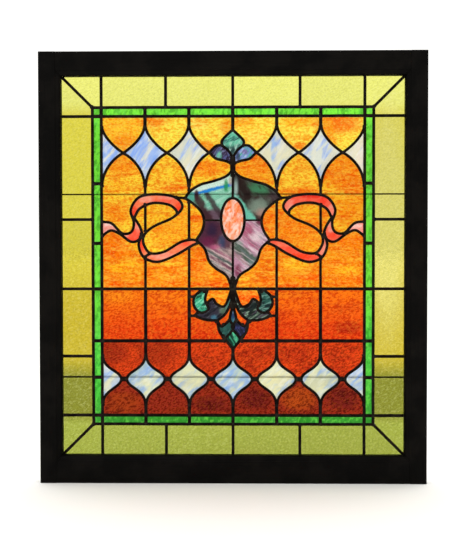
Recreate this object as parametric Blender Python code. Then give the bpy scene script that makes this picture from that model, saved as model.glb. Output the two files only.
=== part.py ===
"""A leaded stained glass window in a painted wooden sash.

The window's front looks along -Y, +X is its right and +Z is up. The origin is the
middle of the sash's underside. Sizes are in millimetres and become metres when a
mesh is made. The lead lines are drawn as a plan on the panel's own centre, every
lead is a strip along its line, and every pane is what the strips leave open.
"""
import math

import bmesh
import bpy
import numpy as np
from mathutils import Vector
from mathutils.geometry import delaunay_2d_cdt

MM = 0.001

# Sash
SASH_WIDTH = 872.0
SASH_HEIGHT = 972.0
SASH_THICKNESS = 36.0
STILE_WIDTH = 50.0
TOP_RAIL_WIDTH = 55.0
BOTTOM_RAIL_WIDTH = 63.0
MOULDING_WIDTH = 12.0
MOULDING_DEPTH = 9.5
QUIRK = 1.5
REBATE_WIDTH = 10.0
REBATE_DEPTH = 16.0
TENON_THICKNESS = 12.0
TENON_HAUNCH = 12.0
ARRIS = 1.5

# Leaded panel
GLASS_THICKNESS = 3.0
LEAD_SKIN = 0.9
EDGE_LEAD = 9.0
GRID_LEAD = 6.6
MOTIF_LEAD = 5.0
FINE_LEAD = 4.2
STEM_LEAD = 11.0
SOLDER_BRIDGE = 10.0
FIELD_WIDTH = 594.0
FIELD_HEIGHT = 677.0
FILLET_WIDTH = 20.0
UPPER_BAR_HEIGHT = 163.0
LOWER_BAR_HEIGHT = -252.0

# Putty and saddle bars
PUTTY_WIDTH = 8.2
PUTTY_HEIGHT = 7.5
BAR_THICKNESS = 3.2
BAR_DEPTH = 9.5

# Gap kept between pieces that touch
CLEARANCE = 0.3

# How far a straight facet may lie from its curve
FACET = 1.5

# Gaps between leads under this area are filled with solder
CRUMB = 45.0

# The size at which the lead lines of the field are drawn
DRAWN_WIDTH = 594.0
DRAWN_HEIGHT = 677.0

LEAD_DEPTH = GLASS_THICKNESS + 2 * (LEAD_SKIN + CLEARANCE)
SIGHT_WIDTH = SASH_WIDTH - 2 * STILE_WIDTH
SIGHT_HEIGHT = SASH_HEIGHT - TOP_RAIL_WIDTH - BOTTOM_RAIL_WIDTH
PANEL_HEIGHT = BOTTOM_RAIL_WIDTH + SIGHT_HEIGHT / 2
REBATE_FACE = SASH_THICKNESS / 2 - REBATE_DEPTH
PANEL_FRONT = REBATE_FACE + CLEARANCE
PANEL_BACK = PANEL_FRONT + LEAD_DEPTH
COLUMN = FIELD_WIDTH / 6

# Levels of the drawing, from the panel's centre
TOP = DRAWN_HEIGHT / 2
PITCH = DRAWN_WIDTH / 6
DIAMOND_LEVEL = 256.0
DIAMOND_RISE = 60.0
DIAMOND_DROP = 76.0
UPPER_SILL = -51.0
LOWER_SILL = -169.0
ONION_LEVEL = -256.0
ONION_RISE = 56.0
ONION_DROP = 60.0
ONION_HALF_WIDTH = 43.3
OVAL_LEVEL = 105.5
OVAL_HALF_WIDTH = 26.5
OVAL_HALF_HEIGHT = 48.5
RIBBON_LEVEL = 106.0
BORDER_LEVEL = -204.0
FILLET_LEVELS = (52.0, 187.0)
TIE = 2.0

# Free lines of the left half, drawn from the middle of the panel
RIBBON_TOP = [(-297, 101), (-274, 97), (-251, 75), (-230, 78), (-224, 99), (-231, 128), (-212, 156),
              (-174, 163), (-130, 156), (-114, 134), (-136, 110), (-172, 94), (-191, 82), (-203, 68)]
RIBBON_UNDER = [(-297, 68), (-277, 81), (-257, 74), (-231, 56), (-213, 60), (-206, 76)]
LOOP_INNER = [(-223, 110), (-210, 131), (-181, 143), (-147, 140), (-130, 129), (-125, 119)]
LOOP_CROSSING = [(-223, 110), (-210, 89), (-203, 66)]
BAND_OUTER = [(-208, 68), (-213, 46), (-201, 20), (-170, 10), (-130, 25), (-96, 45), (-79, 53)]
BAND_INNER = [(-203, 68), (-202, 50), (-187, 30), (-156, 33), (-120, 54), (-97, 60), (-81, 59)]
SHIELD_TOP = [(0, 218), (-16, 203), (-45, 192), (-74, 184), (-96, 170), (-108, 154)]
SHIELD_SIDE = [(-108, 154), (-90, 142), (-72, 124), (-65, 104), (-69, 82), (-83, 59)]
SHIELD_LOW = [(-83, 59), (-64, 40), (-54, 12), (-38, -5), (-15, -21), (-4, -46)]
FLEUR_TOP = [(0, 308), (-20, 289), (-25, 281), (-24, 273)]
FLEUR_INNER = [(-24, 273), (-10, 261), (0, 245)]
LEAF_UPPER = [(-24, 273), (-38, 271), (-53, 257)]
LEAF_UNDER = [(-53, 257), (-38, 243), (-18, 238), (-3, 232)]
CURL = [(-68, -51), (-87, -69), (-88, -90), (-73, -105), (-56, -97), (-63, -76), (-57, -51)]
DARK_LEAF_TOP = [(-60, -84), (-46, -74), (-36, -86), (-18, -89), (-3, -51)]
DARK_LEAF_UNDER = [(-78, -102), (-84, -112), (-62, -121), (-35, -123)]
DARK_LEAF_INNER = [(-35, -123), (-16, -106), (-4, -81)]
LOBE_UPPER = [(-35, -124), (-25, -136), (-7, -121)]
LOBE_OUTER = [(-35, -124), (-31, -147), (-18, -165)]
TEARDROP = [(0, -89), (-7, -118), (0, -133)]
BASE_DIAMOND = [(0, -144), (-18, -165), (0, -188)]


class Lead:
    """One strip of lead: its line, its width and whether it parts two sheets of glass."""

    def __init__(self, line, width, through=True):
        self.line = line
        self.width = width
        self.through = through


def drawn(x, z):
    """A point of the drawing on the panel."""
    return Vector((x * FIELD_WIDTH / DRAWN_WIDTH, z * FIELD_HEIGHT / DRAWN_HEIGHT))


def thinned(line):
    """The line with as few points as keep it within a facet's distance of its curve."""
    a, b = line[0], line[-1]
    if len(line) < 3:
        return line
    along = b - a
    length = max(along.length, 1e-6)
    far = [abs(along.cross(p - a)) / length if along.length > 1e-6 else (p - a).length for p in line]
    most = max(range(len(line)), key=far.__getitem__)
    if far[most] <= FACET:
        return [a, b]
    return thinned(line[:most + 1])[:-1] + thinned(line[most:])


def smooth(points, steps=6):
    """A Catmull-Rom curve through the points."""
    knots = [2 * points[0] - points[1], *points, 2 * points[-1] - points[-2]]
    line = [points[0]]
    for a, b, c, d in zip(knots, knots[1:], knots[2:], knots[3:]):
        for i in range(1, steps + 1):
            t = i / steps
            line.append(0.5 * (2 * b + (c - a) * t + (2 * a - 5 * b + 4 * c - d) * t * t
                               + (3 * b - a - 3 * c + d) * t ** 3))
    return thinned(line)


def bezier(a, b, c, d, steps=12):
    """A cubic curve from a to d with the handles b and c."""
    line = []
    for i in range(steps + 1):
        t = i / steps
        s = 1 - t
        line.append(a * s ** 3 + 3 * b * s * s * t + 3 * c * s * t * t + d * t ** 3)
    return thinned(line)


def both_sides(points, width, through=True, steps=6):
    """A free line of the left half and its mirror image."""
    left = smooth([drawn(*p) for p in points], steps)
    right = [Vector((-p.x, p.y)) for p in left]
    return [Lead(left, width, through), Lead(right, width, through)]


def straight(a, b, width, through=True):
    """A straight lead between two points of the panel."""
    return Lead([Vector(a), Vector(b)], width, through)


def upright(x, low, high, width=GRID_LEAD, through=False):
    """A straight upright lead of the drawing."""
    return Lead([drawn(x, low), drawn(x, high)], width, through)


def frame_leads(half_width, half_height, width):
    """Four leads round a rectangle, each run on to the outer edge of the corner."""
    x, z, e = half_width, half_height, width / 2
    return [straight((-x - e, z), (x + e, z), width), straight((-x - e, -z), (x + e, -z), width),
            straight((-x, -z - e), (-x, z + e), width), straight((x, -z - e), (x, z + e), width)]


def border_leads():
    """The edge came, both leads of the fillet and the short leads across border and fillet."""
    edge_x, edge_z = SIGHT_WIDTH / 2, SIGHT_HEIGHT / 2
    field_x, field_z = FIELD_WIDTH / 2, FIELD_HEIGHT / 2
    ring_x, ring_z = field_x + FILLET_WIDTH, field_z + FILLET_WIDTH
    leads = frame_leads(edge_x + EDGE_LEAD / 2, edge_z + EDGE_LEAD / 2, EDGE_LEAD)
    leads += frame_leads(ring_x, ring_z, GRID_LEAD) + frame_leads(field_x, field_z, GRID_LEAD)
    for side in (-1, 1):
        for k in range(-3, 4):
            x = k * COLUMN
            leads.append(straight((x, side * field_z), (x, side * ring_z), GRID_LEAD, False))
        for z in (-TOP, LOWER_SILL, ONION_LEVEL + 2 * TIE, UPPER_SILL, *FILLET_LEVELS, TOP):
            level = drawn(0, z).y
            leads.append(straight((side * field_x, level), (side * ring_x, level), GRID_LEAD, False))
        for share in (-1, -0.51, 0, 0.51, 1):
            x = share * field_x
            leads.append(straight((x, side * ring_z), (x, side * edge_z), GRID_LEAD, False))
        for z in (-TOP, BORDER_LEVEL, UPPER_SILL, RIBBON_LEVEL, TOP):
            level = drawn(0, z).y
            leads.append(straight((side * ring_x, level), (side * edge_x, level), GRID_LEAD, False))
        for end in (-1, 1):
            corner, outer = (side * ring_x, end * ring_z), (side * edge_x, end * edge_z)
            leads.append(straight(corner, outer, GRID_LEAD, False))
    return leads


def diamond_leads():
    """The crossing leads that leave a diamond on each column, save the middle one."""
    leads = []
    half = PITCH / 2
    for k in range(-3, 4):
        for side in (-1, 1):
            if k == 0 or abs(k + side) > 3:
                continue
            vertex = half - (2 * TIE if k + side == 0 else 0)
            x = k * PITCH
            for rise, steep, out, flat in ((DIAMOND_RISE, 0.73, 0.22, 0.3),
                                           (-DIAMOND_DROP, 0.53, 0.25, 0.17)):
                leads.append(Lead(bezier(drawn(x + side * PITCH * 0.012, DIAMOND_LEVEL + rise),
                                         drawn(x + side * PITCH * 0.02, DIAMOND_LEVEL + rise * steep),
                                         drawn(x + side * PITCH * out, DIAMOND_LEVEL + rise * flat),
                                         drawn(x + side * vertex, DIAMOND_LEVEL)), MOTIF_LEAD))
    return leads


def onion_leads():
    """The leads round the onion pane of each column, and the solder that ties them."""
    leads = []
    w = ONION_HALF_WIDTH
    for k in range(-3, 4):
        for side in (-1, 1):
            if abs(k + side) > 3:
                continue
            x = k * PITCH
            for rise in (ONION_RISE, -ONION_DROP):
                leads.append(Lead(bezier(drawn(x + side * PITCH * 0.01, ONION_LEVEL + rise),
                                         drawn(x + side * PITCH * 0.005, ONION_LEVEL + rise * 0.38),
                                         drawn(x + side * w * 0.954, ONION_LEVEL + rise * 0.36),
                                         drawn(x + side * w, ONION_LEVEL)), MOTIF_LEAD))
    for k in range(-3, 3):
        x = (k + 0.5) * PITCH
        gap = PITCH / 2 - w
        leads.append(Lead([drawn(x - gap, ONION_LEVEL), drawn(x + gap, ONION_LEVEL)], SOLDER_BRIDGE))
    return leads


def column_leads():
    """The upright leads of the field. Each parts panes of one glass."""
    leads = []
    for side in (-1, 1):
        x2, x1 = side * 2 * PITCH, side * PITCH
        for x, ribbon, low, high, band in (
                (x2, RIBBON_TOP[7][1] - TIE, RIBBON_TOP[-1][1] + 2 * TIE, LOOP_INNER[2][1] - TIE, BAND_OUTER[2]),
                (x1, SHIELD_TOP[4][1], BAND_INNER[5][1] - TIE, SHIELD_SIDE[1][1] + 2 * TIE, BAND_OUTER[5])):
            leads += [upright(x, ribbon, DIAMOND_LEVEL - DIAMOND_DROP + TIE), upright(x, low, high),
                      upright(x, LOWER_SILL, band[1] - TIE / 2),
                      upright(x, DIAMOND_LEVEL + DIAMOND_RISE - TIE, TOP),
                      upright(x, ONION_LEVEL + ONION_RISE - TIE, LOWER_SILL),
                      upright(x, -TOP, ONION_LEVEL - ONION_DROP + TIE)]
    leads += [upright(0, FLEUR_TOP[0][1] - 2 * TIE, TOP),
              upright(0, ONION_LEVEL + ONION_RISE - TIE, BASE_DIAMOND[-1][1] + TIE),
              upright(0, -TOP, ONION_LEVEL - ONION_DROP + TIE)]
    return leads


def motif_leads():
    """Fleur, shield, oval, ribbons and lower ornament."""
    leads = []
    for line in (RIBBON_TOP, RIBBON_UNDER, LOOP_INNER, LOOP_CROSSING, BAND_OUTER, BAND_INNER,
                 SHIELD_TOP, SHIELD_SIDE, SHIELD_LOW, FLEUR_TOP, FLEUR_INNER, LEAF_UPPER, LEAF_UNDER,
                 CURL, DARK_LEAF_TOP, DARK_LEAF_UNDER, DARK_LEAF_INNER, LOBE_UPPER, LOBE_OUTER, TEARDROP):
        leads += both_sides(line, MOTIF_LEAD)
    leads += both_sides(BASE_DIAMOND, MOTIF_LEAD, steps=1)
    leads += both_sides([BAND_INNER[2], BAND_OUTER[2]], MOTIF_LEAD, False, steps=1)
    leads += both_sides([RIBBON_TOP[8], SHIELD_TOP[-1]], MOTIF_LEAD, False, steps=1)
    for x, z in (CURL[1], DARK_LEAF_UNDER[1]):
        leads += both_sides([(-PITCH, z), (x, z)], MOTIF_LEAD, False, steps=1)
    oval = [drawn(OVAL_HALF_WIDTH * math.sin(a), OVAL_LEVEL + OVAL_HALF_HEIGHT * math.cos(a))
            for a in (math.tau * i / 20 for i in range(21))]
    leads.append(Lead(oval, MOTIF_LEAD))
    leads += both_sides([SHIELD_SIDE[3], (-OVAL_HALF_WIDTH, SHIELD_SIDE[3][1])], FINE_LEAD, steps=1)
    leads += [upright(0, OVAL_LEVEL + OVAL_HALF_HEIGHT, SHIELD_TOP[0][1] - TIE, FINE_LEAD, True),
              upright(0, SHIELD_LOW[-1][1] + 5 * TIE, OVAL_LEVEL - OVAL_HALF_HEIGHT, FINE_LEAD, True),
              upright(0, SHIELD_TOP[0][1] - 4 * TIE, FLEUR_INNER[-1][1] + TIE, STEM_LEAD, True),
              upright(0, TEARDROP[0][1] - 4 * TIE, SHIELD_LOW[-1][1] + 8 * TIE, STEM_LEAD, True),
              upright(0, BASE_DIAMOND[0][1] - TIE, TEARDROP[-1][1] + TIE, FINE_LEAD, True)]
    return leads


def sill_leads():
    """The two level leads across the field."""
    leads = []
    for side in (-1, 1):
        curl, base = abs(CURL[-1][0]), abs(BASE_DIAMOND[1][0])
        for x0, x1, z, through in ((3 * PITCH, curl, UPPER_SILL, True), (curl, 0, UPPER_SILL, False),
                                   (3 * PITCH, base, LOWER_SILL, True)):
            leads.append(Lead([drawn(side * x0, z), drawn(side * x1, z)], GRID_LEAD, through))
    return leads


def strip_quads(lead):
    """The strip of one lead as four-sided pieces with mitred bends."""
    line = lead.line
    closed = (line[0] - line[-1]).length < 1e-6
    offsets = []
    for i, p in enumerate(line):
        before = p - line[i - 1] if i > 0 else (p - line[-2] if closed else None)
        after = line[i + 1] - p if i + 1 < len(line) else (line[1] - p if closed else None)
        if before is None or after is None:
            d = (after if before is None else before).normalized()
            offsets.append(Vector((-d.y, d.x)) * lead.width / 2)
        else:
            d = (before.normalized() + after.normalized()).normalized()
            n = Vector((-d.y, d.x))
            side = Vector((-before.y, before.x)).normalized()
            offsets.append(n * lead.width / 2 / max(n.dot(side), 0.5))
    return [(line[i] - offsets[i], line[i + 1] - offsets[i + 1], line[i + 1] + offsets[i + 1],
             line[i] + offsets[i]) for i in range(len(line) - 1)]


def centres(verts, tris):
    """The middle of each triangle, as an array."""
    flat = np.array([tuple(v) for v in verts])
    return flat[np.array(tris)].mean(axis=1)


def inside(points, edges):
    """Which of the points lie within the outlines, by counting crossings."""
    x, y = points[:, 0], points[:, 1]
    odd = np.zeros(len(points), bool)
    for (ax, ay), (bx, by) in edges:
        if ay != by:
            odd ^= ((ay > y) != (by > y)) & (x < ax + (y - ay) * (bx - ax) / (by - ay))
    return odd


def straightened(edges, keep):
    """Outline edges with the points taken out where the outline runs straight."""
    links = {}
    for a, b in edges:
        links.setdefault(a, []).append(b)
        links.setdefault(b, []).append(a)
    for v in list(links):
        if v in keep or len(links[v]) != 2:
            continue
        a, b = links[v]
        links[a][links[a].index(v)] = b
        links[b][links[b].index(v)] = a
        del links[v]
    return {tuple(sorted((a, b))) for a in links for b in links[a]}


class Plan:
    """The lead lines laid out flat: which triangles are lead, and which lead is full depth."""

    def __init__(self, leads):
        quads = [(quad, lead.through) for lead in leads for quad in strip_quads(lead)]
        points = [p for quad, _ in quads for p in quad]
        edges = [(i + k, i + (k + 1) % 4) for i in range(0, len(points), 4) for k in range(4)]
        verts, _, tris, _, _, _ = delaunay_2d_cdt(points, edges, [], 0, 0.02)
        middles = centres(verts, tris)
        is_lead, is_deep = np.zeros(len(tris), bool), np.zeros(len(tris), bool)
        for quad, through in quads:
            covered = inside(middles, list(zip(quad, (*quad[1:], quad[0]))))
            is_lead |= covered
            is_deep |= covered & through
        lead_tris, deep_tris = set(np.flatnonzero(is_lead)), set(np.flatnonzero(is_deep))
        self._fill_crumbs(verts, tris, lead_tris, deep_tris)
        outline = self._outline(tris, lead_tris)
        deep_outline = self._outline(tris, deep_tris)
        keep = self._corners(verts, outline) | self._corners(verts, deep_outline)
        outline, deep_outline = straightened(outline, keep), straightened(deep_outline, keep)
        self._retriangulate(verts, outline, deep_outline)

    @staticmethod
    def _outline(tris, chosen):
        count = {}
        for i in chosen:
            t = tris[i]
            for a, b in zip(t, (*t[1:], t[0])):
                key = tuple(sorted((a, b)))
                count[key] = count.get(key, 0) + 1
        return {edge for edge, n in count.items() if n == 1}

    @staticmethod
    def _corners(verts, edges):
        """The outline points where the outline turns, branches or ends."""
        links = {}
        for a, b in edges:
            links.setdefault(a, []).append(b)
            links.setdefault(b, []).append(a)
        keep = set()
        for v, ends in links.items():
            if len(ends) != 2:
                keep.add(v)
                continue
            a, b = (verts[e] - verts[v] for e in ends)
            if abs(a.normalized().cross(b.normalized())) > 0.004:
                keep.add(v)
        return keep

    @staticmethod
    def _fill_crumbs(verts, tris, lead_tris, deep_tris):
        """Gaps too small for a pane are solder."""
        for region in connected(tris, set(range(len(tris))) - lead_tris):
            corners = [[verts[v] for v in tris[i]] for i in region]
            if sum(abs((b - a).cross(c - a)) / 2 for a, b, c in corners) < CRUMB:
                lead_tris |= region
                deep_tris |= region

    def _retriangulate(self, verts, outline, deep_outline):
        used = sorted({v for edge in outline | deep_outline for v in edge})
        index = {v: i for i, v in enumerate(used)}
        edges = [(index[a], index[b]) for a, b in outline | deep_outline]
        self.verts, _, tris, _, _, _ = delaunay_2d_cdt([verts[v] for v in used], edges, [], 0, 0.005)
        self.tris = [tuple(t) for t in tris]
        middles = centres(self.verts, self.tris)
        is_lead = inside(middles, [(verts[a], verts[b]) for a, b in outline])
        is_deep = inside(middles, [(verts[a], verts[b]) for a, b in deep_outline])
        self.lead, self.deep = set(np.flatnonzero(is_lead)), set(np.flatnonzero(is_lead & is_deep))

    def sheets(self):
        """The regions of glass, each a set of triangles bounded by full-depth lead."""
        return connected(self.tris, set(range(len(self.tris))) - self.deep)


def connected(tris, chosen):
    """The chosen triangles, sorted into groups that share edges."""
    by_edge = {}
    for i in chosen:
        t = tris[i]
        for a, b in zip(t, (*t[1:], t[0])):
            by_edge.setdefault(tuple(sorted((a, b))), []).append(i)
    near = {i: set() for i in chosen}
    for group in by_edge.values():
        for i in group:
            near[i].update(group)
    groups, left = [], set(chosen)
    while left:
        stack = [left.pop()]
        group = set(stack)
        while stack:
            fresh = near[stack.pop()] & left
            left -= fresh
            group |= fresh
            stack += fresh
        groups.append(group)
    return groups


def boundary_loops(tris, chosen):
    """The closed outlines of a group of triangles, with the group on their left."""
    step = {}
    edges = {(a, b) for i in chosen for a, b in zip(tris[i], (*tris[i][1:], tris[i][0]))}
    for a, b in edges:
        if (b, a) not in edges:
            step[a] = b
    loops = []
    while step:
        start = next(iter(step))
        loop, v = [], start
        while v in step:
            loop.append(v)
            v = step.pop(v)
        loops.append(loop)
    return loops


def turning(loop):
    """The points of an outline at which it turns."""
    kept = []
    for i, p in enumerate(loop):
        a, b = p - loop[i - 1], loop[(i + 1) % len(loop)] - p
        if abs(a.normalized().cross(b.normalized())) > 0.01:
            kept.append(p)
    return kept


def inset(loop, distance):
    """An outline moved to its left by a distance, without the points that would fold over."""
    loop = list(loop)
    while True:
        moved = []
        n = len(loop)
        for i in range(n):
            a = (loop[i] - loop[i - 1]).normalized()
            b = (loop[(i + 1) % n] - loop[i]).normalized()
            d = a + b
            d = d.normalized() if d.length > 1e-4 else a
            normal = Vector((-d.y, d.x))
            moved.append(loop[i] + normal * distance / max(normal.dot(Vector((-a.y, a.x))), 0.04))
        worst = [(loop[(i + 1) % n] - loop[i]).length for i in range(n)
                 if (moved[(i + 1) % n] - moved[i]).dot(loop[(i + 1) % n] - loop[i]) <= 0]
        if not worst:
            return moved
        short = min(worst)
        at = next(i for i in range(n) if (loop[(i + 1) % n] - loop[i]).length == short)
        middle = (loop[at] + loop[(at + 1) % n]) / 2
        loop[at] = middle
        del loop[(at + 1) % n]


def material(name, colour, roughness, metallic=0.0, transmission=0.0):
    """A Principled material of one colour."""
    made = bpy.data.materials.new(name)
    made.use_nodes = True
    shader = made.node_tree.nodes["Principled BSDF"]
    linear = [(c / 12.92 if c <= 0.04045 else ((c + 0.055) / 1.055) ** 2.4)
              for c in (int(colour[i:i + 2], 16) / 255 for i in (0, 2, 4))]
    shader.inputs["Base Color"].default_value = (*linear, 1)
    shader.inputs["Roughness"].default_value = roughness
    shader.inputs["Metallic"].default_value = metallic
    shader.inputs["Transmission Weight"].default_value = transmission
    made.diffuse_color = (*linear, 1)
    return made


def add_object(name, mesh, paint, parent, location=(0, 0, 0)):
    """An object of the finished model under its parent."""
    thing = bpy.data.objects.new(name, mesh)
    mesh.materials.append(paint)
    bpy.context.scene.collection.objects.link(thing)
    thing.parent = parent
    thing.location = location
    return thing


def mesh_of(name, bm):
    """A mesh from a bmesh in millimetres, faces out."""
    bmesh.ops.recalc_face_normals(bm, faces=bm.faces)
    bmesh.ops.scale(bm, vec=(MM, MM, MM), verts=bm.verts)
    mesh = bpy.data.meshes.new(name)
    bm.to_mesh(mesh)
    bm.free()
    return mesh


def lattice_mesh(plan):
    """The leads as one solid: full depth between sheets, a thin strip on the front of one sheet."""
    levels = (0, LEAD_SKIN, LEAD_DEPTH)
    bm = bmesh.new()
    made = {}

    def vert(v, level):
        if (v, level) not in made:
            p = plan.verts[v]
            made[v, level] = bm.verts.new((p.x, levels[level], p.y))
        return made[v, level]

    split = {v for i in plan.lead - plan.deep for v in plan.tris[i]}
    for i in plan.lead:
        t = plan.tris[i]
        bm.faces.new([vert(v, 0) for v in t])
        bm.faces.new([vert(v, 2 if i in plan.deep else 1) for v in reversed(t)])
    lead_edges = {e for loop in boundary_loops(plan.tris, plan.lead) for e in zip(loop, loop[1:] + loop[:1])}
    deep_edges = {e for loop in boundary_loops(plan.tris, plan.deep) for e in zip(loop, loop[1:] + loop[:1])}
    for a, b in lead_edges | deep_edges:
        if (a, b) not in lead_edges:
            walls = [(a, 1), (a, 2), (b, 2), (b, 1)]
        elif (a, b) not in deep_edges:
            walls = [(a, 0), (a, 1), (b, 1), (b, 0)]
        else:
            walls = [(a, 0), *[(a, 1)] * (a in split), (a, 2), (b, 2), *[(b, 1)] * (b in split), (b, 0)]
        bm.faces.new([vert(*corner) for corner in walls])
    return mesh_of("lead_came_lattice", bm)


def sheet_mesh(name, plan, sheet):
    """One sheet of glass, cut to its opening less the clearance."""
    points, edges = [], []
    for loop in boundary_loops(plan.tris, sheet):
        outline = inset(turning([plan.verts[v] for v in loop]), CLEARANCE)
        first = len(points)
        points += outline
        edges += [(first + i, first + (i + 1) % len(outline)) for i in range(len(outline))]
    verts, _, tris, _, _, _ = delaunay_2d_cdt(points, edges, [], 0, 0.001)
    within = inside(centres(verts, tris), [(points[a], points[b]) for a, b in edges])
    kept = max(connected(tris, np.flatnonzero(within)), key=len)
    front = LEAD_SKIN + CLEARANCE
    bm = bmesh.new()
    faces = {y: {} for y in (front, front + GLASS_THICKNESS)}
    for y, made in faces.items():
        for i in kept:
            for v in tris[i]:
                if v not in made:
                    made[v] = bm.verts.new((verts[v].x, y, verts[v].y))
    near, far = faces.values()
    for i in kept:
        bm.faces.new([near[v] for v in tris[i]])
        bm.faces.new([far[v] for v in reversed(tris[i])])
    for loop in boundary_loops(tris, kept):
        for a, b in zip(loop, loop[1:] + loop[:1]):
            bm.faces.new([near[b], near[a], far[a], far[b]])
    return mesh_of(name, bm)


def prism(outline, axis, start, end):
    """A solid from a flat outline, run along an axis from start to end."""
    bm = bmesh.new()
    order = {"X": (2, 0, 1), "Y": (0, 2, 1), "Z": (0, 1, 2)}[axis]
    rings = [[bm.verts.new([(p, q, r)[i] for i in order]) for p, q in outline] for r in (start, end)]
    bm.faces.new(rings[0])
    bm.faces.new(reversed(rings[1]))
    for i in range(len(outline)):
        j = (i + 1) % len(outline)
        bm.faces.new([rings[0][j], rings[0][i], rings[1][i], rings[1][j]])
    return bm


def member_profile(width):
    """A sash member's section: distance from its outer edge, and depth."""
    front, back = -SASH_THICKNESS / 2, SASH_THICKNESS / 2
    flat = width - MOULDING_WIDTH
    curve = [(flat + QUIRK + (MOULDING_WIDTH - QUIRK) * math.sin(a),
              front + QUIRK + (MOULDING_DEPTH - QUIRK) * (1 - math.cos(a)))
             for a in (math.pi / 2 * i / 4 for i in range(5))]
    return [(0, front + ARRIS), (ARRIS, front), (flat, front), (flat, front + QUIRK), *curve,
            (width, REBATE_FACE), (width - REBATE_WIDTH, REBATE_FACE), (width - REBATE_WIDTH, back),
            (ARRIS, back), (0, back - ARRIS)]


def combine(base, other, operation):
    """A Boolean of two bmeshes in millimetres, as a new bmesh."""
    things = []
    for bm in (base, other):
        mesh = mesh_of("combine", bm)
        thing = bpy.data.objects.new("combine", mesh)
        bpy.context.scene.collection.objects.link(thing)
        things.append(thing)
    cut = things[0].modifiers.new("cut", "BOOLEAN")
    cut.operation = operation
    cut.object = things[1]
    cut.solver = "EXACT"
    result = bmesh.new()
    result.from_object(things[0], bpy.context.evaluated_depsgraph_get())
    bmesh.ops.scale(result, vec=(1 / MM, 1 / MM, 1 / MM), verts=result.verts)
    for thing in things:
        mesh = thing.data
        bpy.data.objects.remove(thing)
        bpy.data.meshes.remove(mesh)
    return result


def box(x, y, z):
    """A box between pairs of limits."""
    return prism([(x[0], y[0]), (x[1], y[0]), (x[1], y[1]), (x[0], y[1])], "Z", *z)


def tenon_limits(top, grow=0.0):
    """The limits of a rail's tenon in depth and height, or of its mortise if grown."""
    width = TOP_RAIL_WIDTH if top else BOTTOM_RAIL_WIDTH
    low, high = TENON_HAUNCH - grow, width - MOULDING_WIDTH - QUIRK + grow
    z = (SASH_HEIGHT - high, SASH_HEIGHT - low) if top else (low, high)
    return (-TENON_THICKNESS / 2 - grow, TENON_THICKNESS / 2 + grow), z


def stile_mesh(name, side):
    """A stile: full height, its moulding mitred, with two mortises right through."""
    edge, flat = SASH_WIDTH / 2, SASH_WIDTH / 2 - STILE_WIDTH + MOULDING_WIDTH
    sight = SIGHT_WIDTH / 2
    profile = [(side * (edge - u), y) for u, y in member_profile(STILE_WIDTH)]
    low, high = BOTTOM_RAIL_WIDTH, SASH_HEIGHT - TOP_RAIL_WIDTH
    plan = [(side * p, q) for p, q in (
        (edge + 1, -1), (edge + 1, SASH_HEIGHT + 1), (flat, SASH_HEIGHT + 1), (flat, high + MOULDING_WIDTH),
        (sight - 1, high - 1), (sight - 1, low + 1), (flat, low - MOULDING_WIDTH), (flat, -1))]
    body = combine(prism(profile, "Z", 0, SASH_HEIGHT),
                   prism(plan, "Y", -SASH_THICKNESS, SASH_THICKNESS), "INTERSECT")
    for top in (False, True):
        depth, height = tenon_limits(top, CLEARANCE)
        reach = sorted((side * (flat - 5), side * (edge + 5)))
        body = combine(body, box(reach, depth, height), "DIFFERENCE")
    return mesh_of(name, body)


def rail_mesh(name, top):
    """A rail between the stiles, its moulding mitred, with a tenon on each end."""
    width = TOP_RAIL_WIDTH if top else BOTTOM_RAIL_WIDTH
    outer, turn = (SASH_HEIGHT, -1) if top else (0, 1)
    shoulder = SASH_WIDTH / 2 - STILE_WIDTH + MOULDING_WIDTH - CLEARANCE
    profile = [(y, outer + turn * u) for u, y in member_profile(width)]
    flat, past = width - MOULDING_WIDTH, width + 1
    inner = shoulder - MOULDING_WIDTH - 1 - CLEARANCE * (math.sqrt(2) - 1)
    plan = [(p, outer + turn * q) for p, q in (
        (-shoulder, -1), (-shoulder, flat), (-inner, past), (inner, past), (shoulder, flat), (shoulder, -1))]
    body = combine(prism(profile, "X", -SASH_WIDTH / 2, SASH_WIDTH / 2),
                   prism(plan, "Y", -SASH_THICKNESS, SASH_THICKNESS), "INTERSECT")
    depth, height = tenon_limits(top)
    reach = SASH_WIDTH / 2 - CLEARANCE
    for side in (-1, 1):
        span = sorted((side * (shoulder - 6), side * reach))
        body = combine(body, box(span, depth, height), "UNION")
    return mesh_of(name, body)


def putty_mesh():
    """A bevelled fillet of putty round the rebate, behind the panel."""
    half_x = SIGHT_WIDTH / 2 + REBATE_WIDTH - CLEARANCE
    half_z = SIGHT_HEIGHT / 2 + REBATE_WIDTH - CLEARANCE
    start = PANEL_BACK + CLEARANCE
    bm = bmesh.new()
    rings = []
    for inward, y in ((0, start), (0, start + PUTTY_HEIGHT), (1.2, start + PUTTY_HEIGHT),
                      (PUTTY_WIDTH, start + 0.8), (PUTTY_WIDTH, start)):
        x, z = half_x - inward, half_z - inward
        corners = ((-x, -z), (x, -z), (x, z), (-x, z))
        rings.append([bm.verts.new((p, y, PANEL_HEIGHT + q)) for p, q in corners])
    for ring, following in zip(rings, rings[1:] + rings[:1]):
        for i in range(4):
            j = (i + 1) % 4
            bm.faces.new([ring[i], ring[j], following[j], following[i]])
    return mesh_of("glazing_putty", bm)


def bar_mesh(name):
    """A flat steel bar on edge, between the putty on both sides."""
    half = SIGHT_WIDTH / 2 + REBATE_WIDTH - PUTTY_WIDTH - 2 * CLEARANCE
    t = BAR_THICKNESS / 2
    return mesh_of(name, box((-half, half), (0, BAR_DEPTH), (-t, t)))


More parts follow.
